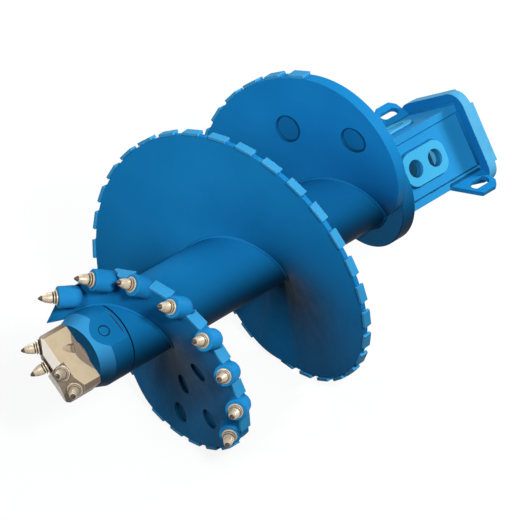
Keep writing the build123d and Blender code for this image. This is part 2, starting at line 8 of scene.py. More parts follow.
import json
import logging
import math
from abc import ABC, abstractmethod
from collections.abc import Iterable, Sequence
from dataclasses import dataclass
from enum import Enum
from functools import reduce
from typing import Any, ClassVar, NamedTuple

import bpy
import numpy as np
from mathutils import Matrix, Vector


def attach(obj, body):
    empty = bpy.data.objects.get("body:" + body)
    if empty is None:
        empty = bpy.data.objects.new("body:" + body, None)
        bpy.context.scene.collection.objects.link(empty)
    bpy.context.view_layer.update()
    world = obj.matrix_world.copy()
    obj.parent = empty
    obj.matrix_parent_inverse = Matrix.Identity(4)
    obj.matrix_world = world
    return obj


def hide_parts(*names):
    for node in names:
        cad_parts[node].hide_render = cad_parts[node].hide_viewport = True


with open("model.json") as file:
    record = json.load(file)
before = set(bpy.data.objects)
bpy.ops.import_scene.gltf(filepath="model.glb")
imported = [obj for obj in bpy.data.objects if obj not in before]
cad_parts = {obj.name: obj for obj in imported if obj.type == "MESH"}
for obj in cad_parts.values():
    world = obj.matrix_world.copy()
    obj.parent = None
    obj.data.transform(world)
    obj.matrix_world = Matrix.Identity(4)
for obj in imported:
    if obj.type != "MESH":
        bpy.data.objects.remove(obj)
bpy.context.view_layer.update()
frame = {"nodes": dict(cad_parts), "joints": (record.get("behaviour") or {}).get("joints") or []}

LOG = logging.getLogger("auger")
BODY = "auger_body"
MM = 0.001
AXIS_Z = 500.3 * MM
ALONG = np.array([1.0, 0.0, 0.0])

Colour = tuple[float, float, float, float]
Triple = tuple[float, float, float]
Array = np.ndarray


def unit(v: Array) -> Array:
    """Rows of v scaled to length one."""
    return v / np.linalg.norm(v, axis=-1, keepdims=True)


def srgb(red: int, green: int, blue: int) -> Colour:
    """Colour as Blender wants it, from screen values of 0 to 255."""
    share = np.array([red, green, blue]) / 255.0
    linear = np.where(share <= 0.04045, share / 12.92, ((share + 0.055) / 1.055) ** 2.4)
    return (*(float(c) for c in linear), 1.0)


# Shader graphs


class Val:
    """A socket of a shader graph; operators on it add Math nodes."""

    def __init__(self, graph: "Graph", socket: bpy.types.NodeSocket) -> None:
        """Keeps the graph that the socket belongs to."""
        self.graph = graph
        self.socket = socket

    def _math(self, operation: str, first: Any, second: Any = 0.0) -> "Val":
        """Result of a Math node on two values."""
        return self.graph.add("ShaderNodeMath", {"operation": operation}, {0: first, 1: second})

    def __add__(self, other: Any) -> "Val":
        """Sum of two values."""
        return self._math("ADD", self, other)

    __radd__ = __add__

    def __sub__(self, other: Any) -> "Val":
        """Difference of two values."""
        return self._math("SUBTRACT", self, other)

    def __rsub__(self, other: Any) -> "Val":
        """Difference with the value on the right."""
        return self._math("SUBTRACT", other, self)

    def __mul__(self, other: Any) -> "Val":
        """Product of two values."""
        return self._math("MULTIPLY", self, other)

    __rmul__ = __mul__

    def __neg__(self) -> "Val":
        """Value with its sign turned."""
        return self._math("MULTIPLY", self, -1.0)

    def __abs__(self) -> "Val":
        """Value without its sign."""
        return self._math("ABSOLUTE", self)

    def higher(self, other: Any) -> "Val":
        """The higher of two values."""
        return self._math("MAXIMUM", self, other)

    def root(self) -> "Val":
        """Square root of the value."""
        return self._math("SQRT", self)

    def rise(self, low: float, high: float) -> "Val":
        """Smooth rise from 0 at low to 1 at high.

        Args:
            low: Value that gives 0.
            high: Value that gives 1.

        Returns:
            The clamped, smoothed share.
        """
        kind = {"interpolation_type": "SMOOTHSTEP"}
        return self.graph.add("ShaderNodeMapRange", kind, {0: self, 1: low, 2: high})

    def fall(self, low: float, high: float) -> "Val":
        """Smooth fall from 1 at low to 0 at high."""
        return 1.0 - self.rise(low, high)


class Grain(NamedTuple):
    """Sizes of a noise: lumps per metre, octaves and weight of the finer ones."""

    scale: float
    detail: float = 3.0
    rough: float = 0.5


class Graph:
    """Node tree of one material or world."""

    def __init__(self, owner: bpy.types.Material | bpy.types.World) -> None:
        """Empties the owner's tree."""
        self.owner = owner
        owner.use_nodes = True
        self.tree = owner.node_tree
        self.tree.nodes.clear()

    def add(
        self,
        kind: str,
        settings: dict[str, Any] | None = None,
        inputs: dict[Any, Any] | None = None,
        out: int | str = 0,
    ) -> Val:
        """Adds any node.

        Args:
            kind: The node's type.
            settings: Attributes that are set first.
            inputs: Values or links of its sockets, by name or number.
            out: The socket that is returned.

        Returns:
            The chosen output.
        """
        node = self.tree.nodes.new(kind)
        for key, value in (settings or {}).items():
            setattr(node, key, value)
        for key, value in (inputs or {}).items():
            if isinstance(value, Val):
                self.tree.links.new(value.socket, node.inputs[key])
            else:
                node.inputs[key].default_value = value
        return Val(self, node.outputs[out])

    def place(self) -> Val:
        """Object coordinates, in metres."""
        return self.add("ShaderNodeTexCoord", out="Object")

    def facing(self) -> Val:
        """The surface's normal in the object's own frame."""
        return self.add("ShaderNodeTexCoord", out="Normal")

    def parts(self, vector: Val) -> tuple[Val, Val, Val]:
        """The three numbers of a vector."""
        split = self.add("ShaderNodeSeparateXYZ", inputs={0: vector})
        outputs = split.socket.node.outputs
        return tuple(Val(self, outputs[axis]) for axis in range(3))

    def dot(self, first: Any, second: Any) -> Val:
        """Dot product of two vectors."""
        kind = {"operation": "DOT_PRODUCT"}
        return self.add("ShaderNodeVectorMath", kind, {0: first, 1: second}, out="Value")

    def noise(self, where: Val, grain: Grain) -> Val:
        """Cloudy values of 0 to 1 at coordinates."""
        scale, detail, rough = grain
        sizes = {"Vector": where, "Scale": scale, "Detail": detail, "Roughness": rough}
        return self.add("ShaderNodeTexNoise", inputs=sizes)

    def stretched(self, where: Val, scale: Sequence[float]) -> Val:
        """Coordinates scaled by axis, for streaks and lines."""
        return self.add("ShaderNodeMapping", inputs={"Vector": where, "Scale": tuple(scale)})

    def mix(self, share: Any, first: Any, second: Any) -> Val:
        """Colour between two, by a share of 0 to 1."""
        kind = {"data_type": "RGBA"}
        return self.add("ShaderNodeMix", kind, {0: share, 6: first, 7: second}, out=2)

    def rounded(self, radius: float) -> Val:
        """Normal that rolls over the edges within a radius."""
        return self.add("ShaderNodeBevel", {"samples": 6}, {"Radius": radius})

    def edges(self, normal: Val) -> Val:
        """0 on flat faces, 1 on the edges that a rounded normal rolls over."""
        flat = self.add("ShaderNodeNewGeometry", out="Normal")
        return (1.0 - self.dot(normal, flat)).rise(0.01, 0.16)

    def bump(self, height: Val, depth: float, normal: Val | None = None) -> Val:
        """Normal of a surface with small relief.

        Args:
            height: Relief of 0 to 1.
            depth: Height of a full step, in metres.
            normal: The normal that the relief is laid on.

        Returns:
            The bumped normal.
        """
        inputs: dict[str, Any] = {"Height": height, "Distance": depth, "Strength": 1.0}
        if normal is not None:
            inputs["Normal"] = normal
        return self.add("ShaderNodeBump", inputs=inputs)

    def seen(self) -> Val:
        """1 for rays of the lens, of gloss and of glass, 0 for the rest."""
        seen = self.add("ShaderNodeLightPath", out="Is Camera Ray")
        rays = seen.socket.node.outputs
        for ray in ("Is Glossy Ray", "Is Transmission Ray"):
            seen = seen.higher(Val(self, rays[ray]))
        return seen

    def close(self, shader: Val, kind: str = "ShaderNodeOutputMaterial") -> Any:
        """Ends the graph with a surface shader and returns its owner."""
        output = self.tree.nodes.new(kind)
        self.tree.links.new(shader.socket, output.inputs["Surface"])
        return self.owner

    def surface(self, **inputs: Any) -> bpy.types.Material:
        """Ends the graph with a Principled shader.

        Args:
            inputs: Its sockets, with _ for each space.

        Returns:
            The finished material.
        """
        named = {key.replace("_", " "): value for key, value in inputs.items()}
        return self.close(self.add("ShaderNodeBsdfPrincipled", inputs=named))


# Finishes


class Relief(Enum):
    """What lies under the paint: its grain, its depth and a stretch by axis."""

    ROLLED = (Grain(34.0, 6.0, 0.55), 0.7 * MM, None)
    TURNED = (Grain(1.0, 2.0), 0.12 * MM, (420.0, 3.0, 3.0))
    FORGED = (Grain(95.0, 5.0, 0.6), 1.2 * MM, None)
    BEAD = (Grain(210.0, 4.0, 0.6), 1.1 * MM, None)


def axis_distance(graph: Graph, where: Val) -> Val:
    """Distance of places from the stem's axis: root(y^2 + (z - axis)^2)."""
    _, aside, height = graph.parts(where)
    above = height - AXIS_Z
    return (aside * aside + above * above).root()


class Finish(ABC):
    """A material that is made once and shared."""

    made: ClassVar[dict[str, bpy.types.Material]] = {}
    name: str

    @abstractmethod
    def build(self) -> bpy.types.Material:
        """Makes the material."""

    def start(self) -> tuple[Graph, Val]:
        """A new graph of the finish's name, and object coordinates in it."""
        graph = Graph(bpy.data.materials.new(self.name))
        return graph, graph.place()

    def material(self) -> bpy.types.Material:
        """The finish's material, made on first use."""
        if self.name not in Finish.made:
            Finish.made[self.name] = self.build()
        return Finish.made[self.name]


@dataclass(frozen=True)
class BluePaint(Finish):
    """Sprayed blue paint: cloudy tone, orange peel, thin and lighter on edges; rim adds a painted
    highlight on faces that look across the stem, root a painted shade near the stem and on the
    lower half.
    """

    cloud: ClassVar[Grain] = Grain(3.2, 4.0)
    patch: ClassVar[Grain] = Grain(21.0, 5.0, 0.62)
    peel: ClassVar[Grain] = Grain(330.0, 2.0)
    speck: ClassVar[Grain] = Grain(120.0, 4.0, 0.7)
    peel_depth: ClassVar[float] = 0.09 * MM

    name: str
    relief: Relief
    tone: Colour = srgb(24, 126, 188)
    deep: Colour = srgb(17, 113, 174)
    thin: Colour = srgb(64, 176, 222)
    rough: float = 0.46
    edge: float = 2.2 * MM
    worn: float = 0.55
    # rim: share of painted highlight on faces that look across the stem; root: share of painted
    # shade near the stem and on the lower half, in the painted shade's colour.
    rim: float = 0.0
    root: float = 0.0
    shade_colour: Colour = srgb(4, 27, 45)

    def under(self, graph: Graph, where: Val) -> tuple[Val, float]:
        """Relief of the steel below the paint and its depth.

        Args:
            graph: The material's graph.
            where: Object coordinates.

        Returns:
            Heights of 0 to 1, and the depth of a full step in metres.
        """
        grain, depth, stretch = self.relief.value
        if stretch is not None:
            where = graph.stretched(where, stretch)
        return graph.noise(where, grain), depth

    def painted_root_shade(self, graph: Graph, where: Val) -> Val:
        """Painted shade of 0 to 1 that grows towards the stem and on the lower half."""
        near = axis_distance(graph, where).fall(0.12, 0.44)
        _, _, height = graph.parts(where)
        low = (AXIS_Z - height).rise(-0.16, 0.14)
        return near * 0.25 + low * (0.28 + near * 0.5)

    def marked(self, graph: Graph, where: Val, base: Val) -> Val:
        """Colour with the marks of one kind of piece; plain paint has none.

        Args:
            graph: The material's graph.
            where: Object coordinates.
            base: The paint's colour.

        Returns:
            The marked colour.
        """
        return base

    def build(self) -> bpy.types.Material:
        """Makes the paint."""
        graph, where = self.start()
        patch = graph.noise(where, self.patch)
        under, depth = self.under(graph, where)
        rolled = graph.rounded(self.edge)
        edge = graph.edges(rolled) * patch.rise(0.28, 0.62) * self.worn
        cloud = graph.noise(where, self.cloud).rise(0.3, 0.7)
        speck = graph.noise(where, self.speck).rise(0.66, 0.74)
        tone = graph.mix(cloud * 0.55 + speck * 0.25, self.tone, self.deep)
        base = graph.mix(edge, tone, self.thin)
        # Painted highlight on faces that look across the stem.
        if self.rim:
            ahead, _, _ = graph.parts(graph.facing())
            outward = abs(ahead).fall(0.35, 0.7) * (0.7 + patch * 0.6)
            base = graph.mix(outward * self.rim, base, self.thin)
        # Painted shade near the stem and on the lower half.
        if self.root:
            dark = self.painted_root_shade(graph, where) * (0.8 + patch * 0.4)
            base = graph.mix(dark * self.root, base, self.shade_colour)
        relief = graph.bump(under, depth, rolled)
        return graph.surface(
            Base_Color=self.marked(graph, where, base),
            Roughness=self.rough + (patch - 0.5) * 0.22 - edge * 0.08,
            Normal=graph.bump(graph.noise(where, self.peel), self.peel_depth, relief),
            Specular_IOR_Level=0.02,
        )


@dataclass(frozen=True)
class FlightPaint(BluePaint):
    """Paint of the flights, with painted shade in the round recesses."""

    shade_spots: tuple[tuple[Triple, float], ...] = ()

    def marked(self, graph: Graph, where: Val, base: Val) -> Val:
        """Colour with painted shade at each recess of the front: a dark ring at its edge and a dim
        floor.
        """
        ahead, _, _ = graph.parts(graph.facing())
        front = (-ahead).rise(-0.5, 0.1)
        kind = {"operation": "DISTANCE"}
        # Painted shade round and inside each recess.
        for centre, radius in self.shade_spots:
            reach = graph.add("ShaderNodeVectorMath", kind, {0: where, 1: centre}, out="Value")
            floor = reach.fall(radius - 2 * MM, radius + 1 * MM)
            ring = abs(reach - radius).fall(1.5 * MM, 4.5 * MM)
            base = graph.mix((floor * 0.3).higher(ring * 0.75) * front, base, self.shade_colour)
        return base


@dataclass(frozen=True)
class BoxPaint(BluePaint):
    """Paint of the box's walls, with painted shade on the faces that look to its middle."""

    inside: float = 0.75

    def marked(self, graph: Graph, where: Val, base: Val) -> Val:
        """Colour with painted shade inside: normal . (0, y, z - axis) below zero."""
        _, aside, height = graph.parts(where)
        _, over, upward = graph.parts(graph.facing())
        inward = -(over * aside + upward * (height - AXIS_Z))
        # Painted shade on the inward faces.
        return graph.mix(inward.rise(0.02, 0.05) * self.inside, base, self.shade_colour)


@dataclass(frozen=True)
class TurnedPaint(BluePaint):
    """Paint of the round pieces: dark seam and pin ring, painted light on the nose, painted shade
    on the underside.
    """

    seam: float = -678.8 * MM
    pin_x: float = -743.3 * MM
    pin_ring: float = 18.6 * MM
    pin_side: Triple = (0.0, -0.8192, -0.5736)
    step_x: tuple[float, float] = (-760 * MM, -740 * MM)
    # nose: colour of the painted light on the nose; below: share of painted shade on the underside.
    nose: Colour = srgb(58, 150, 206)
    below: float = 0.9
    line: Colour = srgb(8, 34, 54)

    def marked(self, graph: Graph, where: Val, base: Val) -> Val:
        """Colour with painted light on the nose's slopes and the flat's end, painted shade on the
        underside, the seam and the pin's ring.
        """
        along, _, _ = graph.parts(where)
        ahead, _, upward = graph.parts(graph.facing())
        front = -ahead
        sloped = front.rise(0.2, 0.3) * front.fall(0.5, 0.7)
        step = front.rise(0.8, 0.95) * along.rise(*self.step_x)
        # Painted light: the nose's sloped faces and the flat's end are lighter.
        base = graph.mix((sloped * 0.75).higher(step), base, self.nose)
        # Painted shade: darker the more a face looks down.
        base = graph.mix(upward.fall(-0.45, 0.72) * self.below, base, self.shade_colour)
        seam = abs(along - self.seam).fall(2.4 * MM, 3.6 * MM)
        across = graph.dot(where, self.pin_side) - AXIS_Z * self.pin_side[2]
        aside = along - self.pin_x
        reach = (aside * aside + across * across).root()
        ring = abs(reach - self.pin_ring).fall(1.2 * MM, 2.6 * MM)
        return graph.mix(seam.higher(ring) * 0.85, base, self.line)


@dataclass(frozen=True)
class MilledSteel(Finish):
    """Bare milled steel of the pilot bit: cutter lines, dark seats and ends, a bright chamfer."""

    lines: ClassVar[Grain] = Grain(1.0, 2.0)
    cutter: ClassVar[Triple] = (760.0, 36.0, 36.0)
    cross: ClassVar[Triple] = (30.0, 420.0, 420.0)
    smudge: ClassVar[Grain] = Grain(26.0, 5.0, 0.6)
    square: ClassVar[tuple[float, float]] = (0.9945, 0.998)
    about: ClassVar[tuple[float, float]] = (0.6, 0.66)

    name: str
    seats: tuple[Array, ...]
    chamfers: tuple[Array, ...]
    ends: tuple[Array, ...]
    tone: Colour = srgb(198, 180, 150)
    seat: Colour = srgb(134, 120, 104)
    end: Colour = srgb(122, 106, 90)
    bright: Colour = srgb(244, 238, 226)
    stain: Colour = srgb(182, 162, 132)
    # rear: colour of the painted shade at the bit's rear.
    rear: Colour = srgb(138, 122, 106)
    rear_x: float = -879.2 * MM
    rear_slope: float = 0.798

    def facing_any(self, graph: Graph, ways: Iterable[Array], reach: tuple[float, float]) -> Val:
        """1 on faces that look along any of the given ways.

        Args:
            graph: The material's graph.
            ways: Unit vectors.
            reach: Cosines from which a face begins to count and counts in full.

        Returns:
            The mask.
        """
        facing = graph.facing()
        masks = [graph.dot(facing, tuple(map(float, way))).rise(*reach) for way in ways]
        return reduce(Val.higher, masks)

    def build(self) -> bpy.types.Material:
        """Makes the milled steel; the bit's rear is painted in shade past the cone x = rear_x +
        rear_slope r.
        """
        graph, where = self.start()
        seat = self.facing_any(graph, self.seats, self.square)
        chamfer = self.facing_any(graph, self.chamfers, self.square)
        end = self.facing_any(graph, self.ends, self.about)
        cutter = graph.noise(graph.stretched(where, self.cutter), self.lines)
        cross = graph.noise(graph.stretched(where, self.cross), self.lines)
        smudge = graph.noise(where, self.smudge)
        rolled = graph.rounded(1.6 * MM)
        tone = graph.mix(smudge.rise(0.40, 0.72) * 0.5, self.tone, self.stain)
        along, _, _ = graph.parts(where)
        # Painted shade on the bit's rear.
        behind = along - self.rear_x - axis_distance(graph, where) * self.rear_slope
        tone = graph.mix(behind.rise(-0.8 * MM, 1.2 * MM), tone, self.rear)
        tone = graph.mix(end, tone, self.end)
        tone = graph.mix(seat, tone, self.seat)
        tone = graph.mix(chamfer, tone, self.bright)
        rubbed = graph.edges(rolled) * smudge.rise(0.3, 0.6) * 0.4
        return graph.surface(
            Base_Color=graph.mix(rubbed, tone, self.bright),
            Roughness=0.44 + (smudge - 0.5) * 0.24 + seat * 0.12 - chamfer * 0.06,
            Normal=graph.bump(cutter * 0.6 + cross * 0.4, 0.16 * MM, rolled),
            Metallic=0.15,
            Specular_IOR_Level=0.3,
        )


@dataclass(frozen=True)
class TurnedPick(Finish):
    """Champagne pick steel with turning lines and painted shade in rings at the necks and the foot;
    reads the piece's own map.
    """

    name: str
    tone: Colour = srgb(204, 189, 164)
    shade: Colour = srgb(140, 124, 104)
    scale: Colour = srgb(104, 90, 74)
    # Colour of the painted shade in the rings at the necks and the foot.
    ring_shade: Colour = srgb(50, 41, 34)
    neck: tuple[float, float] = (0.161, 0.055)
    second: tuple[float, float] = (0.306, 0.058)
    foot: tuple[float, float] = (0.02, 0.06)

    def build(self) -> bpy.types.Material:
        """Makes the pick steel: the map's v runs along the pick, u round it."""
        graph, where = self.start()
        around = graph.add("ShaderNodeUVMap", {"uv_map": "Turned"})
        _, along, _ = graph.parts(around)
        (neck, wide), (second, narrow) = self.neck, self.second
        # Painted shade: dark rings in the two necks and at the foot.
        ring = abs(along - neck).fall(0.4 * wide, wide)
        ring = ring.higher(abs(along - second).fall(0.3 * narrow, narrow))
        ring = ring.higher(along.fall(*self.foot))
        lines = graph.noise(graph.stretched(around, (2.0, 150.0, 1.0)), Grain(1.0, 3.0))
        bands = graph.noise(graph.stretched(around, (1.5, 17.0, 1.0)), Grain(1.0, 2.0))
        blot = graph.noise(where, Grain(90.0, 4.0, 0.6))
        tone = graph.mix(bands.rise(0.42, 0.66) * 0.55, self.tone, self.shade)
        base = graph.mix(blot.rise(0.60, 0.74) * 0.5, tone, self.scale)
        return graph.surface(
            Base_Color=graph.mix(ring * 0.88, base, self.ring_shade),
            Roughness=0.26 + blot * 0.16 + (lines - 0.5) * 0.12,
            Normal=graph.bump(lines, 0.16 * MM),
            Metallic=0.2,
            Specular_IOR_Level=0.4,
        )


@dataclass(frozen=True)
class Carbide(Finish):
    """Ground carbide: dark, grainy, lighter where it is rubbed."""

    name: str
    tone: Colour = srgb(82, 70, 60)
    dark: Colour = srgb(46, 40, 36)
    rubbed: Colour = srgb(128, 114, 98)

    def build(self) -> bpy.types.Material:
        """Makes the carbide."""
        graph, where = self.start()
        grain = graph.noise(where, Grain(900.0, 3.0, 0.7))
        cloud = graph.noise(where, Grain(140.0, 4.0))
        base = graph.mix(cloud.rise(0.35, 0.65), self.tone, self.dark)
        return graph.surface(
            Base_Color=graph.mix(grain.rise(0.62, 0.8) * 0.6, base, self.rubbed),
            Roughness=0.34 + grain * 0.2,
            Normal=graph.bump(grain, 0.12 * MM),
            Metallic=0.3,
            Specular_IOR_Level=0.5,
        )


@dataclass(frozen=True)
class PaleFloor(Finish):
    """Pale studio floor: white to the lens and to gloss, soft shadow kept."""

    name: str = "pale_floor"
    tone: Colour = (0.86, 0.87, 0.88, 1.0)
    light: Colour = (0.9, 0.9, 0.9, 1.0)
    bounce: Colour = (0.015, 0.016, 0.018, 1.0)
    white: float = 0.88

    def build(self) -> bpy.types.Material:
        """Makes the floor, by the kind of ray that meets it."""
        graph, where = self.start()
        seen = graph.seen()
        cloud = graph.noise(where, Grain(0.6, 2.0)).rise(0.2, 0.8)
        tone = graph.mix(seen, self.bounce, graph.mix(cloud * 0.04, self.tone, self.light))
        matt = graph.add("ShaderNodeBsdfDiffuse", inputs={"Color": tone})
        glow = graph.add("ShaderNodeEmission", inputs={"Strength": 1.0})
        mixed = {0: seen * self.white, 1: matt, 2: glow}
        return graph.close(graph.add("ShaderNodeMixShader", inputs=mixed))


PLATE_PAINT = BluePaint("blue_paint_plate", Relief.ROLLED)
TURNED_PAINT = TurnedPaint(
    "blue_paint_turned", Relief.TURNED, tone=srgb(19, 111, 166), deep=srgb(14, 100, 153)
)
FORGED_PAINT = BluePaint(
    "blue_paint_forged", Relief.FORGED, tone=srgb(32, 130, 190), deep=srgb(22, 116, 176), worn=0.45
)
# root: painted shade on the beads near the stem and on the lower half.
BEAD_PAINT = BluePaint("blue_paint_bead", Relief.BEAD, worn=0.25, root=0.9)
# Lighter copy of the blue paint: painted highlight on the rim plates.
WEAR_PAINT = BluePaint(
    "blue_paint_wear", Relief.ROLLED, tone=srgb(58, 150, 202), deep=srgb(40, 136, 190),
    thin=srgb(132, 206, 232), worn=0.7, rough=0.42,
)
# rim: painted highlight on the collar's faces that look across the stem.
RIM_PAINT = BluePaint("blue_paint_rim", Relief.ROLLED, thin=srgb(92, 174, 210), rim=0.7)
# Lighter copy of the blue paint: painted light on the box; its inward faces get painted shade.
LIT_BOX_PAINT = BoxPaint(
    "blue_paint_box_lit", Relief.ROLLED, tone=srgb(38, 138, 196), deep=srgb(28, 126, 184)
)
DOUBLER_PAINT = BluePaint(
    "blue_paint_doubler", Relief.ROLLED, tone=srgb(66, 168, 212), deep=srgb(54, 154, 200),
    thin=srgb(132, 206, 232),
)
PICK_STEEL = TurnedPick("pick_steel_turned")
CARBIDE = Carbide("carbide_ground")


# Surfaces


@dataclass
class Shell:
    """One surface: its points, quads, end triangles and map."""

    points: Array
    quads: Array
    tris: Array
    chart: Array


def woven(rows: int, cols: int, wrap: bool) -> Array:
    """Quads of a grid whose columns close on themselves.

    Args:
        rows: Points along the surface.
        cols: Points round it.
        wrap: Whether the last row joins the first.

    Returns:
        Point numbers, four to a quad.
    """
    i = np.arange(rows if wrap else rows - 1)[:, None]
    j = np.arange(cols)[None, :]
    here, there = i * cols, ((i + 1) % rows) * cols
    turn = (j + 1) % cols
    return np.stack([here + j, there + j, there + turn, here + turn], -1).reshape(-1, 4)


def closed_tube(grid: Array, wrap: bool, chart: Array) -> Shell:
    """Shell of a grid of rings, its ends closed by fans to their middles.

    Args:
        grid: Points by row and column; each row is a ring.
        wrap: Whether the tube is a loop, which has no ends.
        chart: Map coordinates by row and column.

    Returns:
        The shell.
    """
    rows, cols = grid.shape[:2]
    quads = woven(rows, cols, wrap)
    points, flat = grid.reshape(-1, 3), chart.reshape(-1, 2)
    if wrap:
        return Shell(points, quads, np.zeros((0, 3), int), flat)
    ends = np.stack([grid[0].mean(0), grid[-1].mean(0)])
    ring = np.arange(cols)
    turn = (ring + 1) % cols
    first, last = rows * cols, rows * cols + 1
    start = np.stack([np.full(cols, first), ring, turn], -1)
    end = np.stack([np.full(cols, last), turn + first - cols, ring + first - cols], -1)
    chart_ends = np.stack([flat[0], flat[-1]])
    return Shell(
        np.concatenate([points, ends]), quads, np.concatenate([start, end]),
        np.concatenate([flat, chart_ends]),
    )


def piece(
    name: str, shells: Sequence[Shell], finish: Finish, body: str, outward: bool = True
) -> bpy.types.Object:
    """Puts shells into one mesh that rides on a body.

    Args:
        name: The piece's name.
        shells: Its surfaces.
        finish: Its material.
        body: The CAD body that carries it.
        outward: False where the rings run the other way round.

    Returns:
        The new object.
    """
    starts = np.cumsum([0] + [len(s.points) for s in shells[:-1]])
    points = np.concatenate([s.points for s in shells])
    chart = np.concatenate([s.chart for s in shells])
    quads = np.concatenate([s.quads + n for s, n in zip(shells, starts)])
    tris = np.concatenate([s.tris + n for s, n in zip(shells, starts)])
    if not outward:
        quads, tris = quads[:, ::-1], tris[:, ::-1]
    mesh = bpy.data.meshes.new(name)
    mesh.vertices.add(len(points))
    mesh.vertices.foreach_set("co", points.astype(np.float32).ravel())
    corners = np.concatenate([quads.ravel(), tris.ravel()]).astype(np.int32)
    counts = np.concatenate([np.full(len(quads), 4), np.full(len(tris), 3)]).astype(np.int32)
    mesh.loops.add(len(corners))
    mesh.loops.foreach_set("vertex_index", corners)
    mesh.polygons.add(len(counts))
    mesh.polygons.foreach_set("loop_start", (np.cumsum(counts) - counts).astype(np.int32))
    mesh.polygons.foreach_set("use_smooth", np.ones(len(counts), bool))
    layer = mesh.uv_layers.new(name="Turned")
    layer.data.foreach_set("uv", chart[corners].astype(np.float32).ravel())
    mesh.update(calc_edges=True)
    mesh.validate()
    mesh.materials.append(finish.material())
    made = bpy.data.objects.new(name, mesh)
    bpy.context.scene.collection.objects.link(made)
    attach(made, body)
    LOG.info("piece %s: %d faces on %s", name, len(counts), body)
    return made


class BeadForm(Enum):
    """Section of a weld bead."""

    FILLET = "in a corner"
    CAP = "along a flush seam"


@dataclass(frozen=True)
class WeldBead:
    """A weld bead: its leg, the spacing of its ripples and its section."""

    leg: float
    ripple: float = 0.0055
    swell: float = 0.075
    form: BeadForm = BeadForm.FILLET
    cols: int = 12
    cap_height: ClassVar[float] = 0.34
    fillet_axes: ClassVar[tuple[float, float]] = (0.74, 0.38)
    fillet_out: ClassVar[float] = 0.33
    arc: ClassVar[float] = 0.45
    crest: ClassVar[tuple[float, float]] = (0.7, 0.6)
    slow: ClassVar[Triple] = (0.05, 61.0, 40.0)
    quick: ClassVar[Triple] = (0.03, 143.0, 1.3)
    least_end: ClassVar[float] = 0.02
    rings: ClassVar[float] = 2.6

    def section(self) -> tuple[Array, Array]:
        """The bead's section round one ring.

        A fillet is an ellipse on the corner's diagonal: its long axis joins
        the two plates, and a fifth of it is sunk in them. A cap is a low
        ellipse that lies across the seam.

        Returns:
            Shares of the leg along the first and second plate.
        """
        around = np.linspace(0, 2 * np.pi, self.cols, endpoint=False)
        if self.form is BeadForm.CAP:
            return np.cos(around), self.cap_height * np.sin(around)
        wide, tall = self.fillet_axes
        across, over = wide * np.cos(around), tall * np.sin(around)
        out, diagonal = self.fillet_out, math.sqrt(0.5)
        return out + diagonal * (across + over), out + diagonal * (over - across)

    def along(self, path: Array, first: Array, second: Array, loop: bool = False) -> Shell:
        """Carries the section along a path.

        P(s, f) = C(s) + leg k(s, f) (A(s) p(f) + B(s) q(f)), where k swells
        once a ripple, bent to arcs across the bead, wanders slowly, and
        falls off as a quarter circle at the two ends.

        Args:
            path: Points of the corner line.
            first: Unit vectors along the first plate, away from the corner.
            second: The same for the second plate.
            loop: Whether the path closes on itself.

        Returns:
            The bead's shell.
        """
        first, second = np.broadcast_to(first, path.shape), np.broadcast_to(second, path.shape)
        steps = np.linalg.norm(np.diff(path, axis=0), axis=1)
        run = np.concatenate([[0.0], np.cumsum(steps)])
        p, q = self.section()
        phase = run[:, None] / self.ripple + (self.arc * (p - q) ** 2)[None, :]
        power, mean = self.crest
        ripples = np.abs(np.sin(np.pi * phase)) ** power - mean
        size, rate, drift = self.slow
        slow = size * np.sin(run * rate + path[:, 1] * drift)
        size, rate, start = self.quick
        quick = size * np.sin(run * rate + start)
        swell = 1.0 + self.swell * ripples + (slow + quick)[:, None]
        if not loop:
            left = np.clip(np.minimum(run, run[-1] - run) / self.leg, 0.0, 1.0)
            quarter = np.clip(1.0 - (1.0 - left) ** 2, self.least_end, 1.0)
            swell = swell * np.sqrt(quarter)[:, None]
        spread = first[:, None, :] * p[None, :, None] + second[:, None, :] * q[None, :, None]
        grid = path[:, None, :] + self.leg * swell[:, :, None] * spread
        tangent = np.gradient(path, axis=0)
        handed = np.einsum("ij,ij->i", tangent, np.cross(first, second)).sum()
        if handed > 0:
            grid = grid[:, ::-1]
        turn = (np.arange(self.cols) / self.cols)[None, :]
        chart = np.stack(np.broadcast_arrays(run[:, None], turn), -1)
        return closed_tube(grid, loop, chart)

    def straight(self, start: Array, end: Array, first: Array, second: Array) -> Shell:
        """A bead along a straight corner between two points."""
        count = max(6, int(np.linalg.norm(end - start) / self.ripple * self.rings))
        share = np.linspace(0.0, 1.0, count)[:, None]
        return self.along(start + (end - start) * share, first, second)


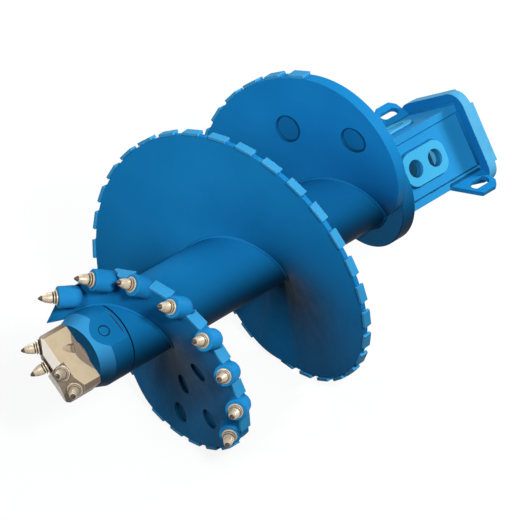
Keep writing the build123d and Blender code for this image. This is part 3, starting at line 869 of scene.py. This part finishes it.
@dataclass(frozen=True)
class Screw:
    """The screw's own sizes, and places on it by distance, radius and turn angle."""

    pitch: float = 500 * MM
    stem_r: float = 127 * MM
    rim_r: float = 490 * MM
    thin: float = 16 * MM
    thick: float = 40 * MM
    roll: float = 218.0
    axis_z: float = AXIS_Z
    x_mid: float = 697.2856 * MM

    @property
    def front(self) -> float:
        """Front face of the thick flights, from the screw line."""
        return self.thin - self.thick

    def out(self, turn: Any) -> Array:
        """Unit vectors out from the axis at turn angles."""
        a = np.radians(np.asarray(turn, float) - self.roll)
        return np.stack([np.zeros_like(a), np.sin(a), -np.cos(a)], -1)

    def at(self, x: Any, r: Any, turn: Any) -> Array:
        """Points at distances along the stem, radii and turn angles."""
        x, r, turn = np.broadcast_arrays(np.asarray(x, float), r, turn)
        middle = np.stack([x - self.x_mid, np.zeros_like(x), np.full_like(x, self.axis_z)], -1)
        return middle + r[..., None] * self.out(turn)

    def rise(self, turn: Any) -> Array:
        """Distance along the stem at turn angles."""
        return self.pitch * np.asarray(turn, float) / 360.0

    def frame(self, r: Any, turn: Any) -> tuple[Array, Array]:
        """Directions along the screw line and square to its plate.

        Args:
            r: Radii.
            turn: Turn angles.

        Returns:
            Unit vectors along the line, and unit vectors towards the box.
        """
        r, turn = np.broadcast_arrays(np.asarray(r, float), np.asarray(turn, float))
        slope = np.arctan2(self.pitch, 2 * np.pi * r)[..., None]
        side, cos, sin = self.out(turn + 90), np.cos(slope), np.sin(slope)
        return cos * side + sin * ALONG, cos * ALONG - sin * side


SCREW = Screw()


# Sub-assemblies


class SubAssembly(ABC):
    """A group of CAD nodes with the pieces that dress them."""

    def paint(self, finish: Finish, *nodes: str) -> None:
        """Gives CAD nodes a finish."""
        for node in nodes:
            mesh = frame["nodes"][node].data
            mesh.materials.clear()
            mesh.materials.append(finish.material())

    @abstractmethod
    def dress(self) -> None:
        """Gives the CAD nodes their finishes."""

    def weld(self, name: str, shells: Sequence[Shell]) -> None:
        """Makes painted beads on the auger's body."""
        piece(name, shells, BEAD_PAINT, BODY)

    def build(self) -> None:
        """Makes the new pieces, where the group has any."""


@dataclass
class Stem(SubAssembly):
    """Stem tube, pilot socket with its pin, and hub flange."""

    flange_x: float = 1181.25 * MM
    bead: WeldBead = WeldBead(0.009)
    ring: int = 360

    def dress(self) -> None:
        """Paints the turned pieces."""
        self.paint(TURNED_PAINT, "stem_tube", "pilot_socket", "socket_pin", "hub_flange")

    def build(self) -> None:
        """Lays the ring bead between stem and flange: a fillet round a circle."""
        turn = np.linspace(0.0, 360.0, self.ring, endpoint=False)
        path = SCREW.at(self.flange_x, SCREW.stem_r, turn)
        shell = self.bead.along(path, SCREW.out(turn), -ALONG, loop=True)
        self.weld("weld_flange_ring", [shell])


@dataclass
class Flights(SubAssembly):
    """The three flights with their root beads and the seams between them."""

    start: float = -18.5
    cut_end: float = 234.0
    mid_end: float = 594.0
    front_end: float = 865.0
    back_end: float = 836.0
    root: WeldBead = WeldBead(0.0065)
    taper: float = 26.0
    cap: WeldBead = WeldBead(0.005, form=BeadForm.CAP)
    spacing: float = 0.0021
    sink: float = 1 * MM
    ramp_grid: tuple[int, int] = (64, 44)
    seam_inset: tuple[float, float] = (8 * MM, 4 * MM)
    seam_rows: int = 330
    recess_mid: float = 4.5 * MM
    recesses: tuple[tuple[float, float, float], ...] = (
        (155.8, 0.348, 34 * MM), (200.7, 0.396, 34 * MM), (212.6, 0.749, 34 * MM),
        (183.7, 0.722, 34 * MM), (732.8, 0.514, 45 * MM), (777.7, 0.533, 45 * MM),
    )

    def dress(self) -> None:
        """Paints the plates."""
        self.paint(self.skin(), "flight_cutting", "flight_middle", "flight_top")

    def skin(self) -> FlightPaint:
        """The flights' paint, told where the recesses lie."""
        span = SCREW.rim_r - SCREW.stem_r
        shade_spots = []
        for turn, share, radius in self.recesses:
            x = SCREW.rise(turn) + SCREW.front + self.recess_mid
            centre = SCREW.at(x, SCREW.stem_r + share * span, turn)
            shade_spots.append((tuple(map(float, centre)), radius))
        # Painted shade near the stem, on the lower half and at each recess.
        return FlightPaint("blue_paint_flight", Relief.ROLLED, root=0.9, shade_spots=tuple(shade_spots))

    def root_bead(self, low: float, high: float, offset: float, side: float) -> Shell:
        """A bead where a flight stands on the stem: a fillet along the screw line.

        Args:
            low: Turn angle where it starts.
            high: Turn angle where it ends.
            offset: Place of the flight's face from the screw line.
            side: -1 in front of the flight, 1 behind it.

        Returns:
            The bead.
        """
        length = math.hypot(2 * math.pi * SCREW.stem_r, SCREW.pitch) * (high - low) / 360
        turn = np.linspace(low, high, int(length / self.spacing))
        path = SCREW.at(SCREW.rise(turn) + offset, SCREW.stem_r, turn)
        _, square = SCREW.frame(SCREW.stem_r, turn)
        return self.root.along(path, SCREW.out(turn), side * square)

    def seam(self, turn: float, ahead: float) -> Shell:
        """A cap across the plates' backs from root to rim where two flights meet.

        Args:
            turn: Turn angle of the joint.
            ahead: 1 where the thinner plate lies ahead along the screw, -1 behind.

        Returns:
            The bead.
        """
        root, rim = self.seam_inset
        r = np.linspace(SCREW.stem_r + root, SCREW.rim_r - rim, self.seam_rows)
        line, square = SCREW.frame(r, turn)
        path = SCREW.at(SCREW.rise(turn) + SCREW.thin, r, turn)
        return self.cap.along(path, ahead * line, square)

    def ramp(self, thick: float, thin: float) -> Shell:
        """A ground taper that brings a thick plate's front face down to the thin plate.

        P(t, r) = screw line at turn t and radius r, moved by front * (1 - s)
        + sink * s, where s(t) rises smoothly from 0 at the thick end to 1.

        Args:
            thick: Turn angle of the thick plate's end.
            thin: Turn angle where the taper runs out.

        Returns:
            The taper, its rings run out along the front and back inside the plate.
        """
        rows, cols = self.ramp_grid
        share = np.linspace(0.0, 1.0, rows)[:, None]
        turn = thick + (thin - thick) * share
        smooth = share**2 * (3.0 - 2.0 * share)
        inner = np.linspace(SCREW.stem_r + 1 * MM, SCREW.rim_r - 1.5 * MM, cols)
        r = np.concatenate([[SCREW.stem_r - 2 * MM], inner, [SCREW.rim_r - 0.5 * MM]])
        face = SCREW.front * (1.0 - smooth) + self.sink * smooth
        offset = np.repeat(np.concatenate([face, np.full_like(face, 4 * self.sink)], 1), len(r), 1)
        grid = SCREW.at(SCREW.rise(turn) + offset, np.concatenate([r, r[::-1]])[None, :], turn)
        if thin < thick:
            grid = grid[:, ::-1]
        across = np.linspace(0.0, 1.0, 2 * len(r))[None, :]
        chart = np.stack(np.broadcast_arrays(share, across), -1)
        return closed_tube(grid, False, chart)

    def build(self) -> None:
        """Lays the root beads in front and behind, the tapers and the seams."""
        fronts = [
            (self.start, self.cut_end, SCREW.front),
            (self.cut_end, self.mid_end, 0.0),
            (self.mid_end, self.front_end, SCREW.front),
        ]
        shells = [self.root_bead(low, high, offset, -1.0) for low, high, offset in fronts]
        self.weld("weld_roots_front", shells)
        back = self.root_bead(self.start, self.back_end, SCREW.thin, 1.0)
        self.weld("weld_root_back", [back])
        tapers = [
            self.ramp(self.cut_end, self.cut_end + self.taper),
            self.ramp(self.mid_end, self.mid_end - self.taper),
        ]
        piece("flight_tapers", tapers, self.skin(), BODY)
        seams = [self.seam(self.cut_end, 1.0), self.seam(self.mid_end, -1.0)]
        self.weld("weld_flight_seams", seams)


@dataclass
class WearPlates(SubAssembly):
    """Wear plates on the rims, each with a bead across both ends."""

    length: float = 64 * MM
    step: float = 12.0
    first: float = 182.0
    counts: tuple[int, int, int] = (5, 30, 13)
    lift: float = -0.7 * MM
    bead: WeldBead = WeldBead(0.005, ripple=0.0045, cols=8)

    def dress(self) -> None:
        """Paints the plates."""
        self.paint(WEAR_PAINT, "plates_cutting", "plates_middle", "plates_top")

    def build(self) -> None:
        """Lays a straight fillet between each plate's end and the rim."""
        shells = []
        cut, mid, top = self.counts
        for number in range(cut + mid + top):
            turn = self.first + self.step * number
            thin = cut <= number < cut + mid
            middle = SCREW.thin / 2 if thin else (SCREW.thin + SCREW.front) / 2
            half = (SCREW.thin if thin else SCREW.thick) / 2 - 1 * MM
            centre = SCREW.at(SCREW.rise(turn) + middle, SCREW.rim_r + self.lift, turn)
            line, square = SCREW.frame(SCREW.rim_r, turn)
            for way in (-1.0, 1.0):
                end, side = centre + way * line * self.length / 2, half * square
                bead = self.bead.straight(end - side, end + side, way * line, SCREW.out(turn))
                shells.append(bead)
        self.weld("weld_plate_ends", shells)


@dataclass
class PilotBit(SubAssembly):
    """The pilot bit's two milled wings."""

    turn: float = 170.0
    seat_u: float = 0.45
    seat_v: float = 0.40
    trail: float = 0.25

    def dress(self) -> None:
        """Gives the bit milled steel, its seats, chamfers and ends told apart by their slopes."""
        wings = [self.turn, self.turn + 180.0]
        seats = tuple(
            unit(-ALONG + bend * SCREW.out(w) - self.seat_v * SCREW.out(w + 90))
            for w in wings
            for bend in (0.0, self.seat_u)
        )
        chamfers = tuple(unit(-ALONG + self.trail * SCREW.out(w + 90)) for w in wings)
        ends = tuple(SCREW.out(w) for w in wings)
        self.paint(MilledSteel("milled_steel", seats, chamfers, ends), "pilot_block")


@dataclass
class Picks(SubAssembly):
    """Turned picks in their bores, carbide points, and beads round the holders."""

    round_cut: float = 0.55 * MM
    round_share: float = 0.42
    chart_len: float = 50 * MM
    sides: int = 72
    holder_r: float = 36 * MM
    holder_len: float = 80 * MM
    holder_dome: float = 26 * MM
    holder_rows: int = 160
    halvings: int = 40
    edge_gap: float = 3 * MM
    stem_gap: float = 4 * MM
    bead: WeldBead = WeldBead(0.0055)
    profile: tuple[tuple[float, float], ...] = (
        (0.0, -45.0), (12.0, -45.0), (14.0, -43.0), (14.0, 0.3), (25.0, 0.3), (25.0, 5.3),
        (17.0, 7.3), (17.0, 8.8), (21.0, 10.3), (21.0, 13.3), (15.0, 15.0), (18.0, 18.3),
        (17.7, 22.5), (16.9, 28.0), (15.6, 34.0), (13.7, 40.5), (11.8, 45.6), (10.0, 49.3),
        (6.0, 49.3), (6.0, 42.3), (0.0, 42.3),
    )
    point: tuple[tuple[float, float], ...] = (
        (0.0, 42.4), (5.9, 42.4), (5.9, 49.4), (8.6, 49.4), (8.6, 52.4), (7.5, 54.3),
        (4.3, 59.5), (3.4, 60.8), (2.1, 61.8), (0.9, 62.2), (0.0, 62.3),
    )
    rim: tuple[tuple[float, float], ...] = (
        (-40.1, 0.142), (-7.4, 0.209), (30.5, 0.295), (61.5, 0.380), (87.7, 0.482),
        (110.5, 0.592), (129.5, 0.708), (146.8, 0.846), (166.2, 1.000),
    )

    def dress(self) -> None:
        """Paints the holders."""
        self.paint(FORGED_PAINT, "pick_holders")

    def softened(self, profile: Sequence[tuple[float, float]]) -> Array:
        """Profile in metres with each inner corner rounded.

        A corner P is cut at P - d e and P + d f, and a parabola through those
        points and towards P takes its place.

        Args:
            profile: Radius and height of each corner, in millimetres.

        Returns:
            Radius and height along the rounded line, without its ends on the axis.
        """
        line = np.array(profile) * MM
        before, corner, after = line[:-2], line[1:-1], line[2:]
        back, ahead = before - corner, after - corner
        back_len = np.linalg.norm(back, axis=1, keepdims=True)
        ahead_len = np.linalg.norm(ahead, axis=1, keepdims=True)
        shorter = np.minimum(back_len, ahead_len)
        cut = np.minimum(self.round_cut, self.round_share * shorter)
        p, q = corner + back / back_len * cut, corner + ahead / ahead_len * cut
        t = np.array([0.0, 0.33, 0.67, 1.0])[None, :, None]
        curve = (1 - t) ** 2 * p[:, None] + 2 * t * (1 - t) * corner[:, None] + t**2 * q[:, None]
        return curve.reshape(-1, 2)

    def turned(self, origin: Array, axis: Array, profile: Sequence[tuple[float, float]]) -> Shell:
        """Turns a profile about an axis.

        P(u, h) = O + w h + r(h) (e cos u + f sin u), with e and f square to
        the axis w.

        Args:
            origin: Centre of the pick's seat.
            axis: The pick's direction.
            profile: Radius and height of each corner, in millimetres.

        Returns:
            The shell, its map's u round the axis and v along it.
        """
        line = self.softened(profile)
        side = unit(np.cross(axis, [0.0, 0.0, 1.0]))
        other = np.cross(axis, side)
        u = np.linspace(0, 2 * np.pi, self.sides, endpoint=False)
        ring = np.cos(u)[:, None] * side + np.sin(u)[:, None] * other
        grid = origin + line[:, 1, None, None] * axis + line[:, 0, None, None] * ring
        share, height = (u / (2 * np.pi))[None, :], line[:, 1, None] / self.chart_len
        chart = np.stack(np.broadcast_arrays(share, height), -1)
        return closed_tube(grid, False, chart)

    def edge_radius(self, turn: Array) -> Array:
        """Radius of the cutting flight's straight edges at turn angles.

        The edge from corner p to corner q is the line r = d / cos(t - n),
        with n square to it and d its distance from the axis.

        Args:
            turn: Turn angles in degrees.

        Returns:
            Radii.
        """
        angle = np.radians(np.array([row[0] for row in self.rim]))
        reach = np.array([SCREW.stem_r + row[1] * (SCREW.rim_r - SCREW.stem_r) for row in self.rim])
        corner = np.stack([reach * np.cos(angle), reach * np.sin(angle)], -1)
        run = np.diff(corner, axis=0)
        square = np.arctan2(-run[:, 0], run[:, 1])
        away = corner[:-1, 0] * np.cos(square) + corner[:-1, 1] * np.sin(square)
        t = np.radians(turn)
        number = np.clip(np.searchsorted(angle, t) - 1, 0, len(run) - 1)
        edge = away[number] / np.cos(t - square[number])
        return np.where(t > angle[-1], SCREW.rim_r, edge)

    def holder_bead(self, origin: Array, axis: Array, turn: float) -> Shell:
        """Bead where a holder's round side meets the flight's front face.

        On the line of the holder's side at angle f, the meeting point is
        found by halving: x(s) = pitch turn(s) / 360 + front. The bead keeps
        the part of the ring that lies inside the flight's edge.

        Args:
            origin: Centre of the holder's front.
            axis: The pick's direction.
            turn: Turn angle of the holder.

        Returns:
            The bead.
        """
        side = unit(np.cross(axis, [0.0, 0.0, 1.0]))
        other = np.cross(axis, side)
        f = np.linspace(0, 2 * np.pi, self.holder_rows, endpoint=False)
        out = np.cos(f)[:, None] * side + np.sin(f)[:, None] * other
        deepest = self.holder_len - 0.5 * self.holder_dome
        low, high = np.zeros_like(f), np.full_like(f, deepest)

        def where(depth: Array) -> tuple[Array, Array, Array]:
            """Point, turn angle and distance past the face at depths along the side."""
            past = np.maximum(depth - self.holder_len + self.holder_dome, 0.0)
            radius = self.holder_r - self.holder_dome + np.sqrt(self.holder_dome**2 - past**2)
            point = origin + radius[:, None] * out - depth[:, None] * axis
            y, z = point[:, 1], point[:, 2] - SCREW.axis_z
            angle = np.degrees(np.arctan2(y, -z)) + SCREW.roll
            angle = (angle - turn + 180.0) % 360.0 - 180.0 + turn
            return point, angle, point[:, 0] + SCREW.x_mid - SCREW.rise(angle) - SCREW.front

        for _ in range(self.halvings):
            middle = (low + high) / 2
            past = where(middle)[2] > 0
            high, low = np.where(past, middle, high), np.where(past, low, middle)
        point, angle, _ = where(high)
        reach = np.hypot(point[:, 1], point[:, 2] - SCREW.axis_z)
        inside = reach < self.edge_radius(angle) - self.edge_gap
        inside &= reach > SCREW.stem_r + self.stem_gap
        inside &= high < deepest - 1 * MM
        start = int(np.argmin(inside))
        order = (np.arange(len(f)) + start) % len(f)
        order = order[inside[order]]
        _, square = SCREW.frame(reach[order], angle[order])
        away = out[order] - np.einsum("ij,ij->i", out[order], square)[:, None] * square
        return self.bead.along(point[order], unit(away), axis)

    def build(self) -> None:
        """Turns each pick and its point on its joint's axis, and beads the holders."""
        beads = []
        for joint in frame["joints"]:
            number = joint["name"].split("_")[1]
            origin, axis = np.array(joint["pos_m"], float), unit(np.array(joint["axis"], float))
            body = joint["child"]
            steel = piece(
                f"turned_pick_{number}", [self.turned(origin, axis, self.profile)],
                PICK_STEEL, body, outward=False,
            )
            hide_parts(f"pick_{number}")
            point = piece(
                f"carbide_point_{number}", [self.turned(origin, axis, self.point)],
                CARBIDE, body, outward=False,
            )
            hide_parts(f"tip_{number}")
            tooth = int(number) - 4
            if tooth > 0:
                beads.append(self.holder_bead(origin, axis, self.rim[tooth][0]))
        self.weld("weld_holders", beads)


@dataclass
class KellyBox(SubAssembly):
    """Square box for the drive bar, its doublers, collar and lugs."""

    turn: float = 98.7
    box_x: float = 1241.25 * MM
    collar_x: float = 1605.25 * MM
    half: float = 125 * MM
    side_face: float = 121 * MM
    inner: float = 100 * MM
    collar_t: float = 35 * MM
    collar_half: float = 165 * MM
    collar_round: float = 58 * MM
    bar_w: float = 28 * MM
    doubler: tuple[float, float, float, float] = (196 * MM, 118 * MM, 44 * MM, 144 * MM)
    lug_half: float = 9 * MM
    lug_len: float = 158 * MM
    end_gap: float = 4 * MM
    seam_gap: float = 8 * MM
    outline_rows: int = 96
    loop_rows: int = 260
    wide: WeldBead = WeldBead(0.008)
    small: WeldBead = WeldBead(0.006)
    seam: WeldBead = WeldBead(0.0045, ripple=0.0045, cols=10)

    def dress(self) -> None:
        """Paints the box."""
        self.paint(LIT_BOX_PAINT, "box_covers", "box_sides")
        self.paint(PLATE_PAINT, "lifting_lugs")
        self.paint(RIM_PAINT, "collar", "collar_bars")
        self.paint(DOUBLER_PAINT, "pin_doublers")

    def at(self, x: float, u: float, v: float) -> Array:
        """Point of the box by distance along it and places across its sides and covers."""
        return SCREW.at(x, 0.0, 0.0) + u * SCREW.out(self.turn) + v * SCREW.out(self.turn + 90)

    def way(self, u: float, v: float) -> Array:
        """Unit vector across the box."""
        return unit(u * SCREW.out(self.turn) + v * SCREW.out(self.turn + 90))

    def square_beads(self, x: float, ahead: float) -> list[Shell]:
        """Four straight fillets round the box where it meets a plate at x."""
        rows = []
        for way in (-1.0, 1.0):
            u, v = way * self.side_face, way * self.half
            rows.append((self.at(x, u, -self.inner), self.at(x, u, self.inner), self.way(way, 0)))
            rows.append((self.at(x, -self.half, v), self.at(x, self.half, v), self.way(0, way)))
        return [self.wide.straight(*row, ahead * ALONG) for row in rows]

    def corner_seams(self) -> list[Shell]:
        """Four long fillets between side plates and the covers' proud edges."""
        low, high = self.box_x + self.seam_gap, self.collar_x - self.seam_gap
        return [
            self.seam.straight(
                self.at(low, i * self.side_face, j * self.inner),
                self.at(high, i * self.side_face, j * self.inner),
                self.way(0, -j),
                self.way(i, 0),
            )
            for i in (-1.0, 1.0)
            for j in (-1.0, 1.0)
        ]

    def doubler_bead(self, quarter: int) -> Shell:
        """Fillet round a doubler plate: a loop of four straights and four arcs.

        The outline is the corner box's edge pushed out by the corner radius:
        C = clamp + round (cos a, sin a), with a running once round.

        Args:
            quarter: Which of the four walls.

        Returns:
            The bead.
        """
        length, width, rounding, middle = self.doubler
        turn = self.turn + 90 * quarter
        face = self.side_face if quarter % 2 == 0 else self.half
        a = np.linspace(0, 2 * np.pi, self.outline_rows, endpoint=False)
        along = np.sign(np.cos(a)) * (length / 2 - rounding) + rounding * np.cos(a)
        across = np.sign(np.sin(a)) * (width / 2 - rounding) + rounding * np.sin(a)
        outline = np.stack([along, across], -1)
        closed = np.concatenate([outline, outline[:1]])
        run = np.concatenate([[0.0], np.cumsum(np.linalg.norm(np.diff(closed, axis=0), axis=1))])
        even = np.linspace(0.0, run[-1], self.loop_rows, endpoint=False)
        way = np.concatenate([a, [2 * np.pi]])
        u, v, aim = (np.interp(even, run, line) for line in (closed[:, 0], closed[:, 1], way))
        out, side = SCREW.out(turn), SCREW.out(turn + 90)
        base = SCREW.at(self.box_x + middle, face, turn)
        path = base + u[:, None] * ALONG + v[:, None] * side
        away = np.cos(aim)[:, None] * ALONG + np.sin(aim)[:, None] * side
        return self.small.along(path, away, out, loop=True)

    def bar_beads(self) -> list[Shell]:
        """A fillet along the inner edge of each bar on the collar's back."""
        x = self.collar_x + self.collar_t
        reach = self.collar_half - self.bar_w
        span = self.collar_half - self.collar_round - self.end_gap
        shells = []
        for turn in self.turn + 90 * np.arange(4):
            out, side = SCREW.out(turn), SCREW.out(turn + 90)
            base = SCREW.at(x, 0.0, 0.0) + reach * out
            shells.append(self.small.straight(base - span * side, base + span * side, -out, ALONG))
        return shells

    def lug_beads(self) -> list[Shell]:
        """Fillets along both sides of each lug's foot on the box's corner."""
        low, high = self.collar_x - self.lug_len + self.end_gap, self.collar_x - self.end_gap
        foot = self.half - self.lug_half * math.sqrt(2)
        shells = []
        for way in (-1.0, 1.0):
            outward = self.way(way, way)
            for u, v, away in (
                (foot, self.half, self.way(-way, 0)),
                (self.half, foot, self.way(0, -way)),
            ):
                ends = [self.at(x, way * u, way * v) for x in (low, high)]
                shells.append(self.small.straight(*ends, away, outward))
        return shells

    def build(self) -> None:
        """Lays the box's beads."""
        ends = self.square_beads(self.box_x, 1.0) + self.square_beads(self.collar_x, -1.0)
        groups = {
            "weld_box_ends": ends,
            "weld_box_corners": self.corner_seams(),
            "weld_doublers": [self.doubler_bead(quarter) for quarter in range(4)],
            "weld_collar_bars": self.bar_beads(),
            "weld_lugs": self.lug_beads(),
        }
        for name, shells in groups.items():
            self.weld(name, shells)


# Studio


@dataclass
class Lamp:
    """A soft square lamp: where it hangs, its side and its power."""

    name: str
    place: Triple
    side: float
    power: float


@dataclass
class Studio:
    """Floor, lamps, sky and the photograph's camera."""

    place: Triple = (-7.32579, -7.8468, 7.2101)
    right: Triple = (0.70483, -0.70714, -0.05629)
    upward: Triple = (0.4109, 0.3423, 0.84498)
    lens: float = 267.2166
    sensor: float = 36.0
    clip: tuple[float, float] = (0.5, 200.0)
    aim: Triple = (0.0, 0.0, 0.48)
    floor_half: float = 40.0
    cells: int = 8
    sky: float = 0.03
    sky_tint: Colour = (0.92, 0.96, 1.0, 1.0)
    lamps: tuple[Lamp, ...] = (
        Lamp("lens_lamp", (-2.25, -4.23, 4.09), 0.8, 305.6),
        Lamp("front_lamp", (-4.12, -0.43, 3.28), 1.6, 74.0),
        Lamp("right_lamp", (4.97, -1.62, 2.18), 1.0, 328.4),
        Lamp("back_lamp", (0.73, 4.15, 4.02), 2.4, 170.0),
    )

    def floor(self) -> None:
        """Lays the pale floor under the wear plates: z(x, y) = 0."""
        row = self.cells + 1
        reach = np.linspace(-self.floor_half, self.floor_half, row)
        x, y = np.meshgrid(reach, reach, indexing="ij")
        points = np.stack([x, y, np.zeros_like(x)], -1).reshape(-1, 3)
        i, j = np.meshgrid(np.arange(self.cells), np.arange(self.cells), indexing="ij")
        here = (i * row + j).ravel()
        quads = np.stack([here, here + row, here + row + 1, here + 1], -1)
        mesh = bpy.data.meshes.new("studio_floor")
        mesh.from_pydata(points.tolist(), [], quads.tolist())
        mesh.materials.append(PaleFloor().material())
        floor = bpy.data.objects.new("studio_floor", mesh)
        bpy.context.scene.collection.objects.link(floor)

    def light(self) -> None:
        """Hangs the lamps, each turned to the auger's middle."""
        for lamp in self.lamps:
            data = bpy.data.lights.new(lamp.name, "AREA")
            data.size, data.energy = lamp.side, lamp.power
            made = bpy.data.objects.new(lamp.name, data)
            made.location = lamp.place
            look = Vector(self.aim) - Vector(lamp.place)
            made.rotation_euler = look.to_track_quat("-Z", "Y").to_euler()
            bpy.context.scene.collection.objects.link(made)

    def backdrop(self) -> None:
        """Sets the sky: soft light for the auger, white to the lens and to gloss."""
        graph = Graph(bpy.data.worlds.new("studio_sky"))
        soft = {"Color": self.sky_tint, "Strength": self.sky}
        plain = {"Color": (1.0, 1.0, 1.0, 1.0), "Strength": 1.0}
        glow, white = (graph.add("ShaderNodeBackground", inputs=tone) for tone in (soft, plain))
        mixed = graph.add("ShaderNodeMixShader", inputs={0: graph.seen(), 1: glow, 2: white})
        bpy.context.scene.world = graph.close(mixed, "ShaderNodeOutputWorld")

    def camera(self) -> None:
        """Sets the camera at the photograph's viewing angle."""
        data = bpy.data.cameras.new("photo_camera")
        data.lens, data.sensor_width = self.lens, self.sensor
        data.clip_start, data.clip_end = self.clip
        made = bpy.data.objects.new("photo_camera", data)
        right, upward = Vector(self.right), Vector(self.upward)
        back = right.cross(upward).normalized()
        turned = Matrix((right.normalized(), upward.normalized(), back)).transposed()
        made.matrix_world = Matrix.Translation(self.place) @ turned.to_4x4()
        bpy.context.scene.collection.objects.link(made)
        bpy.context.scene.camera = made

    def build(self) -> None:
        """Sets up the whole studio."""
        bpy.context.scene.view_settings.view_transform = "Standard"
        self.floor()
        self.light()
        self.backdrop()
        self.camera()


def main() -> None:
    """Dresses the auger, one sub-assembly after another, and sets the studio."""
    logging.basicConfig(level=logging.INFO, format="%(name)s %(message)s")
    groups: list[SubAssembly] = [Stem(), Flights(), WearPlates(), PilotBit(), Picks(), KellyBox()]
    for group in groups:
        group.dress()
        group.build()
        LOG.info("dressed %s", type(group).__name__)
    Studio().build()


if __name__ == "__main__":
    main()
